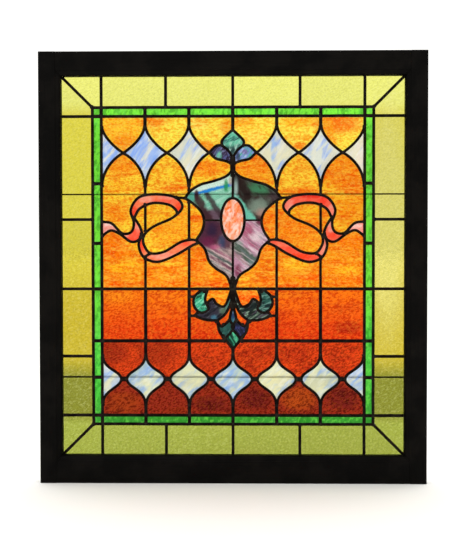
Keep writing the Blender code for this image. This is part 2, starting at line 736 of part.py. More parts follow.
# Colour of each glass
GLASS = {
    "yellow": "D9D45A", "green": "4FCB35", "amber": "FFB41E", "deep_amber": "FF9A10", "orange_red": "F0560C",
    "red": "D0380F", "dark_red": "A02C10", "blue_white": "CFDDEE", "cream_white": "DDE3D2",
    "ribbon": "FF7048", "pink": "F5B8B0", "oval": "F59A72", "mint": "8CC8A8", "dark_green": "38453A",
    "plum": "4A2A3A", "rose": "B88098", "purple": "4A3A58", "lavender": "8090D0", "teal": "2E8A70",
    "night": "282838", "deep_teal": "20403C",
}

# Each pane or sheet: name, glass, and a point of the drawing that lies in it
PANES = [
    ("border_glass", "yellow", (220, 395)), ("fillet_glass", "green", (50, TOP + 10)),
    ("amber_top_row", "amber", (-240, 300)), ("red_row", "red", (-240, -200)),
    ("bottom_row", "dark_red", (-240, -320)), ("fleur_top_leaf", "mint", (0, 285)),
    ("teardrop_stem", "night", (0, -115)), ("base_diamond", "deep_teal", (0, -165)),
    ("shield_oval", "oval", (0, 105)),
    ("fleur_leaf_left", "purple", (-36, 257)), ("fleur_leaf_right", "lavender", (36, 257)),
    ("shield_upper_left", "mint", (-40, 160)), ("shield_upper_right", "dark_green", (40, 160)),
    ("shield_lower_left", "plum", (-30, 30)), ("shield_lower_right", "rose", (30, 30)),
]
for side, sign in (("left", -1), ("right", 1)):
    PANES += [
        (f"amber_arches_{side}", "amber", (sign * 250, 200)),
        (f"amber_loop_{side}", "amber", (sign * 160, 120)),
        (f"amber_low_{side}", "deep_amber", (sign * 250, 0)),
        (f"orange_row_{side}", "orange_red", (sign * 250, -110)),
        (f"orange_triangle_{side}", "orange_red", (sign * 21, -122)),
        (f"ribbon_tail_{side}", "pink", (sign * 280, 88)),
        (f"ribbon_curl_{side}", "ribbon", (sign * 222, 70)),
        (f"ribbon_loop_{side}", "ribbon", (sign * 170, 153)),
        (f"ribbon_band_{side}", "ribbon", (sign * 160, 21)),
        (f"ornament_curl_{side}", "teal", (sign * 75, -90)),
        (f"ornament_leaf_{side}", "night", (sign * 45, -105)),
        (f"ornament_lobe_{side}", "night", (sign * 20, -143)),
    ]
for k in (-3, -2, -1, 1, 2, 3):
    PANES.append((f"diamond_{k + 4}", "blue_white", (k * PITCH * 0.97, DIAMOND_LEVEL)))
for k in range(-3, 4):
    PANES.append((f"onion_{k + 4}", "cream_white", (k * PITCH * 0.97, ONION_LEVEL)))


def pane_point(name, point):
    """The place on the panel of a pane's marked point. The border's lies between fillet and edge."""
    if name == "border_glass":
        middle = (FIELD_HEIGHT / 2 + FILLET_WIDTH + SIGHT_HEIGHT / 2) / 2
        return Vector((FIELD_WIDTH * 0.37, middle))
    if name == "fillet_glass":
        return Vector((COLUMN / 2, (FIELD_HEIGHT + FILLET_WIDTH) / 2))
    return drawn(*point)


def sheet_at(plan, sheets, point):
    """The sheet of glass that a point of the panel lies in."""
    for sheet in sheets:
        for i in sheet:
            a, b, c = (plan.verts[v] for v in plan.tris[i])
            signs = [(q - p).cross(point - p) >= 0 for p, q in ((a, b), (b, c), (c, a))]
            if all(signs) or not any(signs):
                return sheet
    raise ValueError(f"no pane at {tuple(point)}")


def main():
    """Builds the window."""
    for thing in list(bpy.data.objects):
        bpy.data.objects.remove(thing)
    window = bpy.data.objects.new("window", None)
    panel = bpy.data.objects.new("panel", None)
    for empty in (window, panel):
        bpy.context.scene.collection.objects.link(empty)
    panel.parent = window
    panel.location = (0, PANEL_FRONT * MM, PANEL_HEIGHT * MM)

    wood = material("painted_wood", "12110F", 0.55)
    for name, side in (("sash_stile_left", -1), ("sash_stile_right", 1)):
        add_object(name, stile_mesh(name, side), wood, window)
    for name, top in (("sash_bottom_rail", False), ("sash_top_rail", True)):
        add_object(name, rail_mesh(name, top), wood, window)
    add_object("glazing_putty", putty_mesh(), material("putty", "57534A", 0.9), window)
    steel = material("saddle_bar_steel", "3A3A3C", 0.55, 1.0)
    for name, height in (("saddle_bar_upper", UPPER_BAR_HEIGHT), ("saddle_bar_lower", LOWER_BAR_HEIGHT)):
        level = drawn(0, height).y
        add_object(name, bar_mesh(name), steel, panel, (0, (LEAD_DEPTH + CLEARANCE) * MM, level * MM))

    plan = Plan(border_leads() + diamond_leads() + onion_leads() + column_leads() + motif_leads()
                + sill_leads())
    add_object("lead_came_lattice", lattice_mesh(plan), material("lead", "26241F", 0.6, 1.0), panel)
    sheets = plan.sheets()
    paints = {name: material(f"{name}_glass", colour, 0.2, 0.0, 0.8) for name, colour in GLASS.items()}
    for name, glass, point in PANES:
        sheet = sheet_at(plan, sheets, pane_point(name, point))
        sheets.remove(sheet)
        add_object(name, sheet_mesh(name, plan, sheet), paints[glass], panel)


main()
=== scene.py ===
"""A leaded stained glass window in a painted wooden sash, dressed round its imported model.

The front looks along -Y, +X is to the right and +Z is up. The drawing of the leads is
in millimetres from the middle of the panel; finished meshes are in metres where the
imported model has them. Every pane, every strip of lead and every solder joint is real
geometry, and light passes through the glass from behind.
"""

import logging
import math
import random
from dataclasses import dataclass, field
from enum import Enum
from typing import Iterable, Sequence

import bmesh
import bpy
import numpy as np
from mathutils import Matrix, Vector, noise
from mathutils.geometry import delaunay_2d_cdt

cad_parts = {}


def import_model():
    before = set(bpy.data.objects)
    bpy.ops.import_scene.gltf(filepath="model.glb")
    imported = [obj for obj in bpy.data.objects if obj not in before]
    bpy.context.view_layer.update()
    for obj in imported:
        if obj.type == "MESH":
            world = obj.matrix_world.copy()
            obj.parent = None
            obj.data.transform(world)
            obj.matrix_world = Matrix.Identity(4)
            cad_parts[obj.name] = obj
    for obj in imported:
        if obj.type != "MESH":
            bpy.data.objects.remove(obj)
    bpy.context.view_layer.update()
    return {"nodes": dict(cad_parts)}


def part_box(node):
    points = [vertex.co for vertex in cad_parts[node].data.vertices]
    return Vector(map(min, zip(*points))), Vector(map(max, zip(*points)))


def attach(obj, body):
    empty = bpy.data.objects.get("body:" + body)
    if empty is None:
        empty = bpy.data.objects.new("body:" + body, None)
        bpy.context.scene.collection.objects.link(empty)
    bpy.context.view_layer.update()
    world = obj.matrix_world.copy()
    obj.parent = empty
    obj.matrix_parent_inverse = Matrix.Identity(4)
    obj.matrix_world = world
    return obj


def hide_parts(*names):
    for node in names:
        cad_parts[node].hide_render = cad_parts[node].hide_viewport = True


log = logging.getLogger("window")

MM = 0.001
BODY = "root"
Point = tuple[float, float]
Socket = bpy.types.NodeSocket
Tree = bpy.types.NodeTree
Shape = bmesh.types.BMesh


# Lead lines of the left half, drawn from the middle of the panel

RIBBON_TOP = ((-297, 101), (-274, 97), (-251, 75), (-230, 78), (-224, 99), (-231, 128), (-212, 156),
              (-174, 163), (-130, 156), (-114, 134), (-136, 110), (-172, 94), (-191, 82), (-203, 68))
RIBBON_UNDER = ((-297, 68), (-277, 81), (-257, 74), (-231, 56), (-213, 60), (-206, 76))
LOOP_INNER = ((-223, 110), (-210, 131), (-181, 143), (-147, 140), (-130, 129), (-125, 119))
LOOP_CROSSING = ((-223, 110), (-210, 89), (-203, 66))
BAND_OUTER = ((-208, 68), (-213, 46), (-201, 20), (-170, 10), (-130, 25), (-96, 45), (-79, 53))
BAND_INNER = ((-203, 68), (-202, 50), (-187, 30), (-156, 33), (-120, 54), (-97, 60), (-81, 59))
SHIELD_TOP = ((0, 218), (-16, 203), (-45, 192), (-74, 184), (-96, 170), (-108, 154))
SHIELD_SIDE = ((-108, 154), (-90, 142), (-72, 124), (-65, 104), (-69, 82), (-83, 59))
SHIELD_LOW = ((-83, 59), (-64, 40), (-54, 12), (-38, -5), (-15, -21), (-4, -46))
FLEUR_TOP = ((0, 308), (-20, 289), (-25, 281), (-24, 273))
FLEUR_INNER = ((-24, 273), (-10, 261), (0, 245))
LEAF_UPPER = ((-24, 273), (-38, 271), (-53, 257))
LEAF_UNDER = ((-53, 257), (-38, 243), (-18, 238), (-3, 232))
CURL = ((-68, -51), (-87, -69), (-88, -90), (-73, -105), (-56, -97), (-63, -76), (-57, -51))
DARK_LEAF_TOP = ((-60, -84), (-46, -74), (-36, -86), (-18, -89), (-3, -51))
DARK_LEAF_UNDER = ((-78, -102), (-84, -112), (-62, -121), (-35, -123))
DARK_LEAF_INNER = ((-35, -123), (-16, -106), (-4, -81))
LOBE_UPPER = ((-35, -124), (-25, -136), (-7, -121))
LOBE_OUTER = ((-35, -124), (-31, -147), (-18, -165))
TEARDROP = ((0, -89), (-7, -118), (0, -133))
BASE_DIAMOND = ((0, -144), (-18, -165), (0, -188))
LOOP_TIE = (LOOP_INNER[0], (-228, 112))

# Levels, from the top down, where a ribbon's loop and band part the lead of each column
RIBBON_BREAKS = {2: (161, 141, 78, 19), 1: (170, 146, 61, 44)}

# Levels where short leads cross the fillet and the border, besides the sills and the corners
FILLET_LEVELS = (52, 187)
BORDER_LEVELS = (-204, 106)
BORDER_SHARES = (-1, -0.51, 0, 0.51, 1)
MOTIF_LINES = (RIBBON_TOP, RIBBON_UNDER, LOOP_INNER, LOOP_CROSSING, BAND_OUTER, BAND_INNER, SHIELD_TOP,
               SHIELD_SIDE, SHIELD_LOW, FLEUR_TOP, FLEUR_INNER, LEAF_UPPER, LEAF_UNDER, CURL,
               DARK_LEAF_TOP, DARK_LEAF_UNDER, DARK_LEAF_INNER, LOBE_UPPER, LOBE_OUTER, TEARDROP)


def smooth(points: Sequence[Vector], steps: int) -> list[Vector]:
    """Runs a Catmull-Rom curve through points.

    Args:
        points: the knots.
        steps: pieces between two knots.

    Returns:
        The points of the curve.
    """
    knots = [2 * points[0] - points[1], *points, 2 * points[-1] - points[-2]]
    line = [points[0]]
    for a, b, c, d in zip(knots, knots[1:], knots[2:], knots[3:]):
        for i in range(1, steps + 1):
            t = i / steps
            line.append(0.5 * (2 * b + (c - a) * t + (2 * a - 5 * b + 4 * c - d) * t * t
                               + (3 * b - a - 3 * c + d) * t ** 3))
    return line


def bezier(a: Vector, b: Vector, c: Vector, d: Vector, steps: int = 14) -> list[Vector]:
    """Draws a cubic curve.

    Args:
        a: start.
        b: handle of the start.
        c: handle of the end.
        d: end.
        steps: pieces of the curve.

    Returns:
        The points of the curve.
    """
    line = []
    for i in range(steps + 1):
        t = i / steps
        s = 1 - t
        line.append(a * s ** 3 + 3 * b * s * s * t + 3 * c * s * t * t + d * t ** 3)
    return line


@dataclass
class Lead:
    """One strip of came: its line on the panel, its width, and if it parts two sheets of glass."""

    line: list[Vector]
    width: float
    through: bool = True


@dataclass
class LeadDrawing:
    """The glazier's drawing: every lead of the panel, in millimetres from its middle."""

    sight_width: float = 772.0
    sight_height: float = 854.0
    field_width: float = 594.0
    field_height: float = 677.0
    fillet: float = 20.0
    edge_lead: float = 9.0
    grid_lead: float = 6.6
    column_lead: float = 7.6
    tie_lead: float = 7.6
    motif_lead: float = 6.1
    fine_lead: float = 5.4
    cross_lead: float = 4.0
    stem_lead: float = 12.5
    solder_bridge: float = 10.0
    tie: float = 2.0
    diamond_level: float = 256.0
    diamond_rise: float = 60.0
    diamond_drop: float = 76.0
    upper_sill: float = -51.0
    lower_sill: float = -169.0
    onion_level: float = -256.0
    onion_rise: float = 56.0
    onion_drop: float = 60.0
    onion_half_width: float = 43.3
    oval_level: float = 105.5
    oval_half_width: float = 26.5
    oval_half_height: float = 48.5
    leads: list[Lead] = field(default_factory=list)

    def __post_init__(self) -> None:
        """Draws the leads."""
        self.top = self.field_height / 2
        self.pitch = self.field_width / 6
        self.border()
        self.diamonds()
        self.onions()
        self.columns()
        self.motifs()
        self.sills()

    def add(self, points: Iterable[Point | Vector], width: float, through: bool = True) -> None:
        """Adds one lead along points."""
        self.leads.append(Lead([Vector(p) for p in points], width, through))

    def upright(self, x: float, low: float, high: float, width: float = 0, through: bool = False) -> None:
        """Adds a straight upright lead, of the columns' width unless another is given."""
        self.add([(x, low), (x, high)], width or self.column_lead, through)

    def both(self, points: Iterable[Point], width: float, through: bool = True, steps: int = 8) -> None:
        """Adds a free line of the left half and its mirror image."""
        left = smooth([Vector(p) for p in points], steps)
        self.add(left, width, through)
        self.add([(-p.x, p.y) for p in left], width, through)

    def arc(self, x: float, level: float, *handles: Point) -> None:
        """Adds a curved lead of the motifs' width. Its four handles count from a point of the panel."""
        self.add(bezier(*(Vector((x + dx, level + dz)) for dx, dz in handles)), self.motif_lead)

    def rectangle(self, x: float, z: float, width: float) -> None:
        """Adds four leads round a rectangle of these half sizes, run on to the corners' outside."""
        e = width / 2
        for s in (-1, 1):
            self.add([(-x - e, s * z), (x + e, s * z)], width)
            self.add([(s * x, -z - e), (s * x, z + e)], width)

    def border(self) -> None:
        """Edge came, the two leads of the fillet, and the short leads across border and fillet."""
        field_x, field_z = self.field_width / 2, self.top
        ring_x, ring_z = field_x + self.fillet, field_z + self.fillet
        edge_x, edge_z = (size / 2 + self.edge_lead / 2 for size in (self.sight_width, self.sight_height))
        self.rectangle(edge_x, edge_z, self.edge_lead)
        self.rectangle(ring_x, ring_z, self.grid_lead)
        self.rectangle(field_x, field_z, self.grid_lead)
        across_fillet = (-self.top, self.lower_sill, self.onion_level + 2 * self.tie, self.upper_sill,
                         *FILLET_LEVELS, self.top)
        across_border = (-self.top, BORDER_LEVELS[0], self.upper_sill, BORDER_LEVELS[1], self.top)
        for s in (-1, 1):
            for x in (k * self.pitch for k in range(-3, 4)):
                self.add([(x, s * field_z), (x, s * ring_z)], self.tie_lead, False)
            for z in across_fillet:
                self.add([(s * field_x, z), (s * ring_x, z)], self.tie_lead, False)
            for x in (share * field_x for share in BORDER_SHARES):
                self.add([(x, s * ring_z), (x, s * edge_z)], self.grid_lead, False)
            for z in across_border:
                self.add([(s * ring_x, z), (s * edge_x, z)], self.grid_lead, False)
            for end in (-1, 1):
                self.add([(s * ring_x, end * ring_z), (s * edge_x, end * edge_z)], self.grid_lead, False)

    def diamonds(self) -> None:
        """The crossing leads that leave a diamond on each column, save the middle one."""
        level = self.diamond_level
        for k in range(-3, 4):
            for s in (-1, 1):
                if k == 0 or abs(k + s) > 3:
                    continue
                x = k * self.pitch
                vertex = self.pitch / 2 - (2 * self.tie if k + s == 0 else 0)
                for rise, steep, out, flat in ((self.diamond_rise, 0.73, 0.22, 0.3),
                                               (-self.diamond_drop, 0.53, 0.25, 0.17)):
                    self.arc(x, level, (s * 1.2, rise), (s * 2, rise * steep),
                             (s * self.pitch * out, rise * flat), (s * vertex, 0))

    def onions(self) -> None:
        """The leads round the onion pane of each column, and the solder that ties them."""
        w, level = self.onion_half_width, self.onion_level
        for k in range(-3, 4):
            for s in (-1, 1):
                if abs(k + s) > 3:
                    continue
                x = k * self.pitch
                for rise in (self.onion_rise, -self.onion_drop):
                    self.arc(x, level, (s, rise), (s * 0.5, rise * 0.38), (s * w * 0.954, rise * 0.36),
                             (s * w, 0))
        gap = self.pitch / 2 - w
        for k in range(-3, 3):
            x = (k + 0.5) * self.pitch
            self.add([(x - gap, level), (x + gap, level)], self.solder_bridge)

    def columns(self) -> None:
        """The upright leads of the field. Each parts panes of one glass."""
        above = self.diamond_level + self.diamond_rise - self.tie
        below = self.diamond_level - self.diamond_drop + self.tie
        onion_top = self.onion_level + self.onion_rise - self.tie
        onion_foot = self.onion_level - self.onion_drop + self.tie
        for s in (-1, 1):
            for k, (loop_top, loop_foot, band_top, band_foot) in RIBBON_BREAKS.items():
                x = s * k * self.pitch
                for low, high in ((loop_top, below), (band_top, loop_foot), (self.upper_sill, band_foot)):
                    self.upright(x, low, high, self.motif_lead)
                for low, high in ((above, self.top), (self.lower_sill, self.upper_sill),
                                  (onion_top, self.lower_sill), (-self.top, onion_foot)):
                    self.upright(x, low, high)
        for low, high in ((FLEUR_TOP[0][1] - 2 * self.tie, self.top),
                          (onion_top, BASE_DIAMOND[-1][1] + self.tie), (-self.top, onion_foot)):
            self.upright(0, low, high)

    def motifs(self) -> None:
        """Fleur, shield, oval, ribbons and lower ornament."""
        for line in MOTIF_LINES:
            self.both(line, self.motif_lead)
        self.both(BASE_DIAMOND, self.motif_lead, steps=1)
        for points in ((RIBBON_UNDER[2], RIBBON_TOP[2]), LOOP_TIE):
            self.both(points, self.motif_lead, steps=1)
        for points in ((BAND_INNER[2], BAND_OUTER[2]), (RIBBON_TOP[8], SHIELD_TOP[-1]),
                       ((-self.pitch, CURL[1][1]), CURL[1]),
                       ((-self.pitch, DARK_LEAF_UNDER[1][1]), DARK_LEAF_UNDER[1])):
            self.both(points, self.motif_lead, False, 1)
        self.add([(self.oval_half_width * math.sin(a), self.oval_level - self.oval_half_height * math.cos(a))
                  for a in (math.tau * i / 56 for i in range(57))], self.motif_lead)
        self.both((SHIELD_SIDE[3], (-self.oval_half_width, SHIELD_SIDE[3][1])), self.cross_lead, steps=1)
        oval_foot, oval_top = (self.oval_level + s * self.oval_half_height for s in (-1, 1))
        shield_foot, shield_top, tie = SHIELD_LOW[-1][1], SHIELD_TOP[0][1], self.tie
        for low, high, width in ((oval_top, shield_top - tie, self.fine_lead),
                                 (shield_foot + 5 * tie, oval_foot, self.fine_lead),
                                 (shield_top - 4 * tie, FLEUR_INNER[-1][1] + tie, self.stem_lead),
                                 (TEARDROP[0][1] - 4 * tie, shield_foot + 8 * tie, self.stem_lead),
                                 (BASE_DIAMOND[0][1] - tie, TEARDROP[-1][1] + tie, self.fine_lead)):
            self.upright(0, low, high, width, True)

    def sills(self) -> None:
        """The two level leads across the field."""
        half, curl, diamond = self.field_width / 2, -CURL[-1][0], -BASE_DIAMOND[1][0]
        for s in (-1, 1):
            self.add([(s * half, self.upper_sill), (s * curl, self.upper_sill)], self.grid_lead)
            self.add([(s * curl, self.upper_sill), (0, self.upper_sill)], self.grid_lead, False)
            self.add([(s * half, self.lower_sill), (s * diamond, self.lower_sill)], self.column_lead)


def sheet_places() -> dict[str, Point]:
    """A point of the drawing in each sheet of glass as packed, by the sheet's node."""
    places = {
        "border_glass": (220, 395), "fillet_glass": (50, 348.5), "amber_top_row": (-240, 300),
        "red_row": (-240, -200), "bottom_row": (-240, -320), "fleur_top_leaf": (0, 285),
        "teardrop_stem": (0, -115), "base_diamond": (0, -165), "shield_oval": (0, 105),
        "fleur_leaf_left": (-36, 257), "fleur_leaf_right": (36, 257), "shield_upper_left": (-40, 160),
        "shield_upper_right": (40, 160), "shield_lower_left": (-30, 30), "shield_lower_right": (30, 30)}
    paired = {"amber_arches": (250, 200), "amber_loop": (160, 120), "amber_low": (250, 0),
              "orange_row": (250, -110), "orange_triangle": (21, -122), "ribbon_tail": (280, 88),
              "ribbon_curl": (222, 70), "ribbon_loop": (170, 153), "ribbon_band": (160, 21),
              "ornament_curl": (75, -90), "ornament_leaf": (45, -105), "ornament_lobe": (20, -143)}
    for side, sign in (("left", -1), ("right", 1)):
        for name, (x, z) in paired.items():
            places[f"{name}_{side}"] = (sign * x, z)
    for k in range(-3, 4):
        if k:
            places[f"diamond_{k + 4}"] = (k * 96, 256)
        places[f"onion_{k + 4}"] = (k * 96, -256)
    return places


def strip_quads(line: Sequence[Vector], width: float) -> list[tuple[Vector, ...]]:
    """Cuts the strip of one lead into four-sided pieces with mitred bends.

    Args:
        line: the lead's line.
        width: the strip's width.

    Returns:
        The corners of each piece.
    """
    closed = (line[0] - line[-1]).length < 1e-6
    sides = []
    for i, p in enumerate(line):
        before = p - line[i - 1] if i > 0 else (p - line[-2] if closed else None)
        after = line[i + 1] - p if i + 1 < len(line) else (line[1] - p if closed else None)
        if before is None or after is None:
            d = (before or after).normalized()
            sides.append(Vector((-d.y, d.x)) * width / 2)
        else:
            d = (before.normalized() + after.normalized()).normalized()
            n, side = Vector((-d.y, d.x)), Vector((-before.y, before.x)).normalized()
            sides.append(n * width / 2 / max(n.dot(side), 0.5))
    return [(line[i] - sides[i], line[i + 1] - sides[i + 1], line[i + 1] + sides[i + 1], line[i] + sides[i])
            for i in range(len(line) - 1)]


def run_on(line: Sequence[Vector], reach: float) -> list[Vector]:
    """Lengthens an open line at both ends.

    Args:
        line: the line.
        reach: how far each end goes on.

    Returns:
        The longer line, or the line as it was where it is closed.
    """
    if (line[0] - line[-1]).length < 1e-6:
        return list(line)
    first = line[0] + (line[0] - line[1]).normalized() * reach
    last = line[-1] + (line[-1] - line[-2]).normalized() * reach
    return [first, *line[1:-1], last]


@dataclass
class PaneLayout:
    """Which triangles of the panel's plane are glass, sorted into sheets and panes."""

    drawing: LeadDrawing
    tuck: float = 1.1
    reach: float = 1.4
    crumb: float = 90.0

    def __post_init__(self) -> None:
        """Lays the strips out flat and sorts what they leave open."""
        quads = [(quad, lead.through) for lead in self.drawing.leads
                 for quad in strip_quads(run_on(lead.line, self.reach), lead.width - 2 * self.tuck)]
        points = [p for quad, _ in quads for p in quad]
        edges = [(i + k, i + (k + 1) % 4) for i in range(0, len(points), 4) for k in range(4)]
        self.verts, _, self.tris, _, _, _ = delaunay_2d_cdt(points, edges, [], 0, 0.01)
        middles = np.array([tuple(v) for v in self.verts])[np.array(self.tris)].mean(axis=1)
        lead, deep = np.zeros(len(self.tris), bool), np.zeros(len(self.tris), bool)
        for quad, through in quads:
            covered = self.inside(middles, quad)
            lead |= covered
            deep |= covered & through
        self.panes = [p for p in self.connected(np.flatnonzero(~lead)) if self.area(p) > self.crumb]
        small = set(np.flatnonzero(~lead)) - set().union(*self.panes)
        deep[list(small)] = True
        self.sheets = self.connected(np.flatnonzero(~deep))

    @staticmethod
    def inside(points: np.ndarray, outline: Sequence[Vector]) -> np.ndarray:
        """Says which points lie within an outline, by counting crossings."""
        x, y = points[:, 0], points[:, 1]
        odd = np.zeros(len(points), bool)
        for (ax, ay), (bx, by) in zip(outline, (*outline[1:], outline[0])):
            if ay != by:
                odd ^= ((ay > y) != (by > y)) & (x < ax + (y - ay) * (bx - ax) / (by - ay))
        return odd

    def area(self, group: set[int]) -> float:
        """The area of a group of triangles."""
        total = 0.0
        for i in group:
            a, b, c = (self.verts[v] for v in self.tris[i])
            total += abs((b - a).cross(c - a)) / 2
        return total

    def connected(self, chosen: Iterable[int]) -> list[set[int]]:
        """Sorts triangles into groups that share edges.

        Args:
            chosen: the triangles.

        Returns:
            The groups.
        """
        by_edge: dict[tuple[int, int], list[int]] = {}
        for i in chosen:
            t = self.tris[i]
            for a, b in zip(t, (*t[1:], t[0])):
                by_edge.setdefault((min(a, b), max(a, b)), []).append(i)
        near: dict[int, set[int]] = {i: set() for i in chosen}
        for group in by_edge.values():
            for i in group:
                near[i].update(group)
        groups, left = [], set(near)
        while left:
            stack = [left.pop()]
            group = set(stack)
            while stack:
                fresh = near[stack.pop()] & left
                left -= fresh
                group |= fresh
                stack += fresh
            groups.append(group)
        return groups

    def outline(self, group: set[int]) -> list[Vector]:
        """The longest outline of a group, with the points where it runs straight left out."""
        edges = {(a, b) for i in group for a, b in zip(self.tris[i], (*self.tris[i][1:], self.tris[i][0]))}
        step = {a: b for a, b in edges if (b, a) not in edges}
        loops = []
        while step:
            v = next(iter(step))
            loop = []
            while v in step:
                loop.append(v)
                v = step.pop(v)
            loops.append([self.verts[v] for v in loop])
        longest = max(loops, key=lambda l: sum((p - q).length for p, q in zip(l, l[1:])))
        kept = []
        for i, p in enumerate(longest):
            a, b = p - longest[i - 1], longest[(i + 1) % len(longest)] - p
            if a.length > 0.02 and abs(a.normalized().cross(b.normalized())) > 0.004:
                kept.append(p)
        return kept

    def sheet_at(self, point: Point) -> set[int]:
        """The sheet of glass that a point of the drawing lies in."""
        place = Vector(point)
        for sheet in self.sheets:
            for i in sheet:
                a, b, c = (self.verts[v] for v in self.tris[i])
                turns = [(q - p).cross(place - p) >= 0 for p, q in ((a, b), (b, c), (c, a))]
                if all(turns) or not any(turns):
                    return sheet
        raise ValueError(f"no sheet of glass at {point}")

    def panes_of(self, point: Point) -> list[list[Vector]]:
        """The outlines of the panes that one sheet is cut into."""
        sheet = self.sheet_at(point)
        found = [p for p in self.panes if next(iter(p)) in sheet]
        return sorted((self.outline(p) for p in found), key=lambda o: (round(o[0].y), round(o[0].x)))


# Materials: colours, nodes and the glass

def linear(colour: str) -> tuple[float, float, float, float]:
    """Turns an sRGB hex colour into a linear one."""
    parts = [int(colour[i:i + 2], 16) / 255 for i in (1, 3, 5)]
    return (*(c / 12.92 if c <= 0.04045 else ((c + 0.055) / 1.055) ** 2.4 for c in parts), 1.0)


def add_node(tree: Tree, kind: str, inputs: dict | None = None, **settings) -> bpy.types.Node:
    """Adds a node, sets it and links it.

    Args:
        tree: the material's nodes.
        kind: the node's type, without ShaderNode.
        inputs: a value or another node's socket for each input, by name or number.
        settings: the node's own settings.

    Returns:
        The node.
    """
    made = tree.nodes.new(f"ShaderNode{kind}")
    for key, value in settings.items():
        setattr(made, key, value)
    for key, value in (inputs or {}).items():
        if isinstance(value, Socket):
            tree.links.new(value, made.inputs[key])
        else:
            made.inputs[key].default_value = value
    return made


class Stir(Enum):
    """How a second colour joins the first: laid over it, or deepening it as a tint."""

    OVER = "MIX"
    DEEPEN = "MULTIPLY"


def blended(tree: Tree, share: Socket, under: Socket | tuple, over: tuple, how: Stir = Stir.OVER) -> Socket:
    """Mixes two colours.

    Args:
        tree: the material's nodes.
        share: how much of the second shows.
        under: the first colour.
        over: the second colour.
        how: the way of mixing.

    Returns:
        The mixed colour's socket.
    """
    return add_node(tree, "Mix", {0: share, 6: under, 7: over}, data_type="RGBA",
                    blend_type=how.value).outputs[2]


def clouds(tree: Tree, place: Socket, scale: float = 1.0, detail: float = 3.0, rough: float = 0.5,
           curl: float = 0.0) -> bpy.types.Node:
    """Adds a noise at a place, with its scale, detail, roughness and distortion."""
    return add_node(tree, "TexNoise", {0: place, "Scale": scale, "Detail": detail, "Roughness": rough,
                                       "Distortion": curl})


def between(tree: Tree, value: Socket, low: float, high: float, start: float = 0.0,
            end: float = 1.0) -> Socket:
    """Maps a value's range softly onto another.

    Args:
        tree: the material's nodes.
        value: the value.
        low: the value that gives start.
        high: the value that gives end.
        start: the result below low.
        end: the result above high.

    Returns:
        The result's socket.
    """
    return add_node(tree, "MapRange", {0: value, 1: low, 2: high, 3: start, 4: end},
                    interpolation_type="SMOOTHSTEP").outputs[0]


def panel_middle() -> float:
    """The height of the panel's middle, in metres."""
    low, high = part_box("lead_came_lattice")
    return (low.z + high.z) / 2


def blank_material(name: str) -> bpy.types.Material:
    """A new material with an empty node tree."""
    made = bpy.data.materials.new(name)
    made.use_nodes = True
    made.node_tree.nodes.clear()
    return made


@dataclass(frozen=True)
class Place:
    """Where a layer is drawn: its nodes, the place on the uncut sheet and on the panel, and its number."""

    tree: Tree
    sheet: Socket
    panel: Socket
    number: int

    def cloud(self, at: Point, half: Point, turn: float = 0.0) -> Socket:
        """Measures the panel from a point, in half sizes of a cloud, turned in degrees from upright."""
        return add_node(self.tree, "Mapping", {
            0: self.panel, 1: (at[0] * MM, 0, panel_middle() + at[1] * MM), 2: (0, math.radians(turn), 0),
            3: (half[0] * MM, 1, half[1] * MM)}, vector_type="TEXTURE").outputs[0]


@dataclass(frozen=True)
class Wisp:
    """Clouds or streaks of a second colour, stirred into the molten sheet.

    Sizes are millimetres along and across the streaks; turn is degrees from upright to the right.
    """

    colour: str
    cover: float = 0.5
    along: float = 60.0
    across: float = 18.0
    turn: float = 0.0
    edge: float = 0.07
    strength: float = 1.0
    curl: float = 0.6
    how: Stir = Stir.OVER

    def share(self, place: Place) -> Socket:
        """Where the second colour shows. The layer's number gives it a pattern of its own."""
        drawn = add_node(place.tree, "Mapping", {
            0: place.sheet, 1: (place.number * 0.37, 0, place.number * 0.91),
            2: (0, math.radians(self.turn), 0), 3: (self.across * MM, 0.5, self.along * MM)},
            vector_type="TEXTURE").outputs[0]
        stirred = clouds(place.tree, drawn, rough=0.55, curl=self.curl).outputs[0]
        level = 0.5 + (0.5 - self.cover) * 0.34
        return between(place.tree, stirred, level - self.edge, level + self.edge, 0, self.strength)


@dataclass(frozen=True)
class Band:
    """One broad streak placed on the pane: a point it runs through, its turn, and its half width."""

    colour: str
    at: Point
    turn: float
    half: float
    blur: float = 0.5
    strength: float = 1.0
    sway: float = 0.35

    def share(self, place: Place) -> Socket:
        """Where the streak shows: its middle line sways with a slow noise."""
        tree = place.tree
        spot = place.cloud(self.at, (self.half, self.half), self.turn)
        drift = clouds(tree, spot, 0.55, curl=0.5)
        side = add_node(tree, "SeparateXYZ", {0: spot})
        swayed = add_node(tree, "Math", {0: drift.outputs[0], 1: self.sway * 8, 2: side.outputs[0]},
                          operation="MULTIPLY_ADD")
        apart = add_node(tree, "Math", {0: swayed.outputs[0], 1: self.sway * 4}, operation="SUBTRACT")
        away = add_node(tree, "Math", {0: apart.outputs[0]}, operation="ABSOLUTE")
        return between(tree, away.outputs[0], 1 - self.blur, 1 + self.blur, self.strength, 0)


@dataclass(frozen=True)
class Spot:
    """A cloud of another colour placed on the panel: its middle, its two half sizes and its softness."""

    colour: str
    at: Point
    half: Point
    blur: float = 0.45
    strength: float = 0.9
    ragged: float = 1.1

    def share(self, place: Place) -> Socket:
        """Where the cloud shows: its outline is pushed about by a noise."""
        tree, spot = place.tree, place.cloud(self.at, self.half)
        drift = clouds(tree, spot, 1.3, 4.0, 0.6).outputs[1]
        pushed = add_node(tree, "VectorMath", {0: drift, 1: (self.ragged, 0, self.ragged), 2: spot},
                          operation="MULTIPLY_ADD").outputs[0]
        half = -self.ragged / 2
        flat = add_node(tree, "VectorMath", {0: pushed, 1: (1, 0, 1), 2: (half, 0, half)},
                        operation="MULTIPLY_ADD").outputs[0]
        away = add_node(tree, "VectorMath", {0: flat}, operation="LENGTH").outputs[1]
        return between(tree, away, 1 - self.blur, 1 + self.blur, self.strength, 0)


